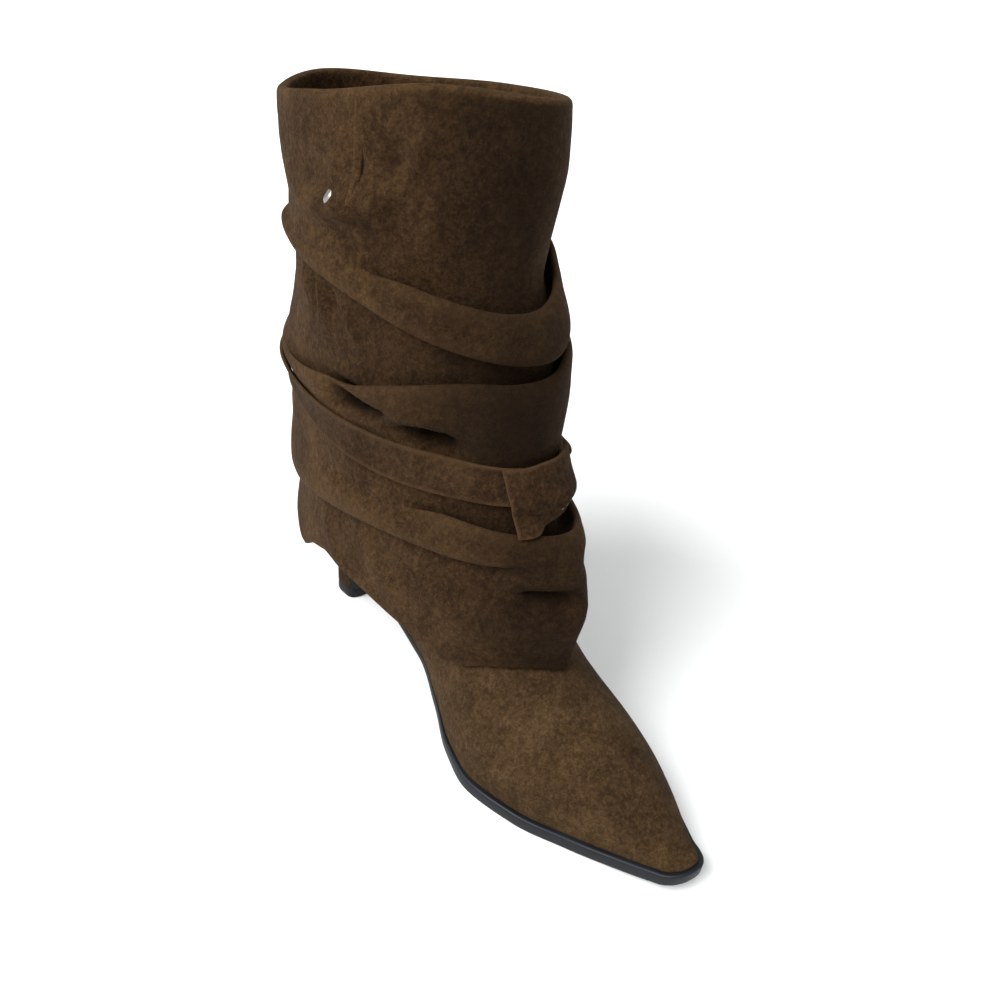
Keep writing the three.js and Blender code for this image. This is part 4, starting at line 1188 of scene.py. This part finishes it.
def tab_surface(grid, heights, outs):
    """The tab's inner face: rows of (turn, height, out) over the strap and down to the sleeve."""
    surface = np.zeros((TAB_COLUMNS, TAB_ROWS, 3))
    for i in range(TAB_COLUMNS):
        share = i / (TAB_COLUMNS - 1)
        degrees = mix(*TAB_SIDES, share)
        column = column_at(degrees)
        for k in range(TAB_ROWS):
            z = mix(mix(*TAB_BOTTOM, share), mix(*TAB_TOP, share), k / (TAB_ROWS - 1))
            out = reach_of(grid[column], z, TAB_LOOK) + 0.3
            beyond = max(heights[column, 0] - 0.8 - z, 0.5 * (z - 0.8 - heights[column, -1]), 0)
            over = np.interp(z, heights[column], outs[column]) + STRAP_THICKNESS + 0.25
            surface[i, k] = math.radians(degrees), z, max(out, over - TAB_FALL * beyond)
    lifted = np.pad(surface[:, :, 2], 3, mode="edge")
    span = range(-TAB_SPAN, TAB_SPAN + 1)
    lifted = np.max([np.roll(lifted, (a, b), (0, 1)) for a in span for b in span], axis=0)
    for _ in range(TAB_PASSES):
        for axis in (0, 1):
            lifted = softened(lifted, 1, axis)
            lifted[:2], lifted[-2:] = lifted[2], lifted[-3]
            lifted[:, :2], lifted[:, -2:] = lifted[:, 2:3], lifted[:, -3:-2]
    surface[:, :, 2] = lifted[3:-3, 3:-3]
    return surface


def make_tab(surface):
    profiles = []
    half = 0.5 * TAB_THICKNESS
    for i, column in enumerate(surface):
        edge = TAB_WEAR if i in (0, TAB_COLUMNS - 1) else 0
        (turn, low, low_out), (_, high, high_out) = column[0], column[-1]
        outer = [(turn, z, out + TAB_THICKNESS, edge) for _, z, out in column[::-1]]
        for k in (0, -1):
            outer[k] = (*outer[k][:3], max(edge, 0.5 * TAB_WEAR))
        profiles.append([
            *((*row, edge) for row in column),
            (turn, high + 0.25, high_out + half, TAB_WEAR),
            *outer,
            (turn, low - 0.25, low_out + half, TAB_WEAR),
        ])
    made = draped("strap_tab", profiles)
    finish_piece(made, STRAP_SUEDE, 45, "strap_suede", "strap_loop")


# The snap's cap: distance from its middle as a share of its radius, and height
SNAP_PROFILE = [
    (0, 1.15), (0.28, 1.2), (0.5, 1.3), (0.68, 1.22), (0.8, 0.98), (0.86, 0.72), (0.9, 0.66),
    (0.97, 0.72), (1.02, 0.55), (1.02, 0.3), (0.97, 0.0), (0, 0.0),
]
SNAP_POINTS = 40
SNAP_LIFT = 0.2


def make_snap(grid):
    """A pressed cap with a rolled rim and a dimple, flat on the sleeve."""
    def at(degrees, z):
        out = reach_of(grid[column_at(degrees)], z, SNAP_LOOK)
        return tube_point(math.radians(degrees), z, out)

    across = at(SNAP_TURN + 3, SNAP_HEIGHT) - at(SNAP_TURN - 3, SNAP_HEIGHT)
    up = at(SNAP_TURN, SNAP_HEIGHT + 3) - at(SNAP_TURN, SNAP_HEIGHT - 3)
    out = up.cross(across).normalized()
    place = at(SNAP_TURN, SNAP_HEIGHT) + out * SNAP_LIFT
    radius = SNAP_DIAMETER / 2
    turned = out.to_track_quat("Z", "Y").to_matrix()
    points = []
    for share, height in SNAP_PROFILE:
        for k in range(SNAP_POINTS):
            a = math.tau * k / SNAP_POINTS
            local = Vector((share * radius * math.cos(a), share * radius * math.sin(a), height))
            points.append(place + turned @ local)
    faces = ring_quads(len(SNAP_PROFILE), SNAP_POINTS)
    made = face_outwards(mesh_object("snap_cap", points, faces), 0.01)
    finish_piece(made, METAL, 60, "snap_metal", "snap")


# The stitches' distance from one to the next, length and thickness
STITCH_PITCH = 2.6
STITCH_LENGTH = 1.7
STITCH_THICKNESS = 0.45


def stitch_tree():
    """Geometry Nodes that lay short rounded stitches along a path."""
    tree = bpy.data.node_groups.new("stitches along a path", "GeometryNodeTree")
    for way in ("INPUT", "OUTPUT"):
        tree.interface.new_socket("Geometry", in_out=way, socket_type="NodeSocketGeometry")

    def node(kind, inputs, **settings):
        made = tree.nodes.new(kind)
        for key, value in settings.items():
            setattr(made, key, value)
        for key, value in inputs.items():
            if isinstance(value, bpy.types.NodeSocket):
                tree.links.new(value, made.inputs[key])
            else:
                made.inputs[key].default_value = value
        return made.outputs

    path = node("NodeGroupInput", {})
    curve = node("GeometryNodeMeshToCurve", {"Mesh": path[0]})
    inputs = {"Curve": curve[0], "Length": STITCH_PITCH * MM}
    spaced = node("GeometryNodeResampleCurve", inputs, mode="LENGTH")
    tangent = node("GeometryNodeInputTangent", {})
    turned = node("FunctionNodeAlignRotationToVector", {"Vector": tangent[0]}, axis="X")
    ball = node("GeometryNodeMeshUVSphere", {"Segments": 8, "Rings": 6, "Radius": 0.5})
    laid = node("GeometryNodeInstanceOnPoints", {
        "Points": spaced[0],
        "Instance": ball["Mesh"],
        "Rotation": turned[0],
        "Scale": [MM * side for side in (STITCH_LENGTH, STITCH_THICKNESS, STITCH_THICKNESS)],
    })
    real = node("GeometryNodeRealizeInstances", {"Geometry": laid[0]})
    covered = node("GeometryNodeSetMaterial", {"Geometry": real[0], "Material": THREAD})
    node("NodeGroupOutput", {"Geometry": covered[0]})
    return tree


def make_tab_stitches(tab):
    """Stitches near the tab's lower end, over 12 of its columns."""
    row = tab[1:13, 2]
    path = [tube_point(turn, z, out + TAB_THICKNESS + 0.05) for turn, z, out in row]
    mesh = bpy.data.meshes.new("tab_stitches")
    mesh.from_pydata([MM * p for p in path], [(i, i + 1) for i in range(len(path) - 1)], [])
    made = placed("tab_stitches", mesh)
    step = made.modifiers.new("stitches", "NODES")
    step.node_group = stitch_tree()
    evaluated = made.evaluated_get(bpy.context.evaluated_depsgraph_get())
    laid = bpy.data.meshes.new_from_object(evaluated)
    made.modifiers.remove(step)
    made.data = laid
    smooth(laid)
    finish_piece(made, None, None, "strap_suede")


# The lapped seam on the medial side: (height, degrees) from its lower end up to the rim, and its
# section as (degrees across, lift, worn)
SEAM_PLACES = [(234, 72), (240, 72), (248, 71.5), (258, 71.5), (267, 71)]
SEAM_SECTION = [
    (-3.6, -0.6, 0), (-2.4, 0.1, 0), (-0.6, 0.5, 0.3), (-0.1, 0.45, 0.9), (0.05, 0.2, 0.5),
    (0.1, -0.6, 0),
]


def make_seam(grid):
    """The lapped seam on the medial side: a narrow raised edge from the rim to the ridge."""
    heights = np.linspace(267, 233, 60)
    profiles = []
    for z, degrees in zip(heights, np.interp(heights, *np.transpose(SEAM_PLACES))):
        line = grid[column_at(degrees)]
        base = float(np.interp(z, line[::-1, 1], line[::-1, 0]))
        profiles.append([
            (math.radians(degrees + across), z, base + lift, wear_and_highlight)
            for across, lift, wear_and_highlight in SEAM_SECTION
        ])
    finish_piece(draped("lapped_seam", profiles), SLEEVE_SUEDE, None, "sleeve_suede")


# Camera, floor and light

# The camera's place in millimetres, the way it looked in the photograph, and its focal length and
# half width in pixels. It is turned to bring the middle of the boot to the middle of the frame.
CAMERA_PLACE = Vector((-251.5, -330.9, 345.9))
FORWARD = Vector((0.4699, 0.7018, -0.5354)).normalized()
ROLL = 0.0118
FOCAL_PIXELS = 962.6
HALF_FRAME = 500
BOOT_MIDDLE = (687, 540)
SENSOR = 36.0


def make_camera():
    level = FORWARD.cross(Vector((0, 0, 1))).normalized()
    upright = level.cross(FORWARD)
    right = level * math.cos(ROLL) + upright * math.sin(ROLL)
    up = upright * math.cos(ROLL) - level * math.sin(ROLL)
    aim = (
        FORWARD
        + right * (BOOT_MIDDLE[0] - HALF_FRAME) / FOCAL_PIXELS
        - up * (BOOT_MIDDLE[1] - HALF_FRAME) / FOCAL_PIXELS
    ).normalized()
    swing = FORWARD.rotation_difference(aim).to_matrix()
    axes = Matrix((swing @ right, swing @ up, -aim)).transposed()
    data = bpy.data.cameras.new("camera")
    data.sensor_width = SENSOR
    data.lens = SENSOR * FOCAL_PIXELS / (2 * HALF_FRAME)
    data.clip_start = 0.01
    camera = placed("camera", data)
    camera.matrix_world = Matrix.Translation(CAMERA_PLACE * MM) @ axes.to_4x4()
    bpy.context.scene.camera = camera


def make_floor():
    reach = 60000
    corners = [(-reach, -reach, 0), (reach, -reach, 0), (reach, reach, 0), (-reach, reach, 0)]
    floor = mesh_object("floor", corners, [(0, 1, 2, 3)])
    made = Finish("pale floor", Specular_IOR_Level=0.0)
    tone = made.noise(400, 2.0, 0.5)
    made.feed("Base Color", made.blend((0.73, 0.735, 0.735), (0.76, 0.765, 0.765), tone))
    made.feed("Roughness", 0.8 + tone * 0.1)
    floor.data.materials.append(made.material)


def sun(name, direction, strength, spread):
    """A soft distant light that shines from direction."""
    data = bpy.data.lights.new(name, "SUN")
    data.energy = strength
    data.angle = math.radians(spread)
    placed(name, data).rotation_euler = Vector(direction).to_track_quat("Z", "Y").to_euler()


def make_light():
    scene = bpy.context.scene
    scene.view_settings.view_transform = "Standard"
    world = bpy.data.worlds.new("studio")
    world.use_nodes = True
    sky = world.node_tree.nodes["Background"]
    sky.inputs["Color"].default_value = (0.985, 0.993, 1.0, 1)
    sky.inputs["Strength"].default_value = 0.6
    scene.world = world
    sun("key from the medial side", (-1.0, 0.2, 0.95), 5.6, 42)
    sun("fill from the front", (-0.3, -0.8, 2.2), 1.0, 70)


make_camera()
make_floor()
make_light()
make_sole()
make_heel()
make_upper()
grid = sleeve_grid()
make_sleeve(grid)
strap_heights, strap_outs = strap_edges(grid)
make_strap(strap_heights, strap_outs)
tab = tab_surface(grid, strap_heights, strap_outs)
make_tab(tab)
make_snap(grid)
make_seam(grid)
make_tab_stitches(tab)

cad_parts["insole"].data.materials.clear()
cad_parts["insole"].data.materials.append(LINING)
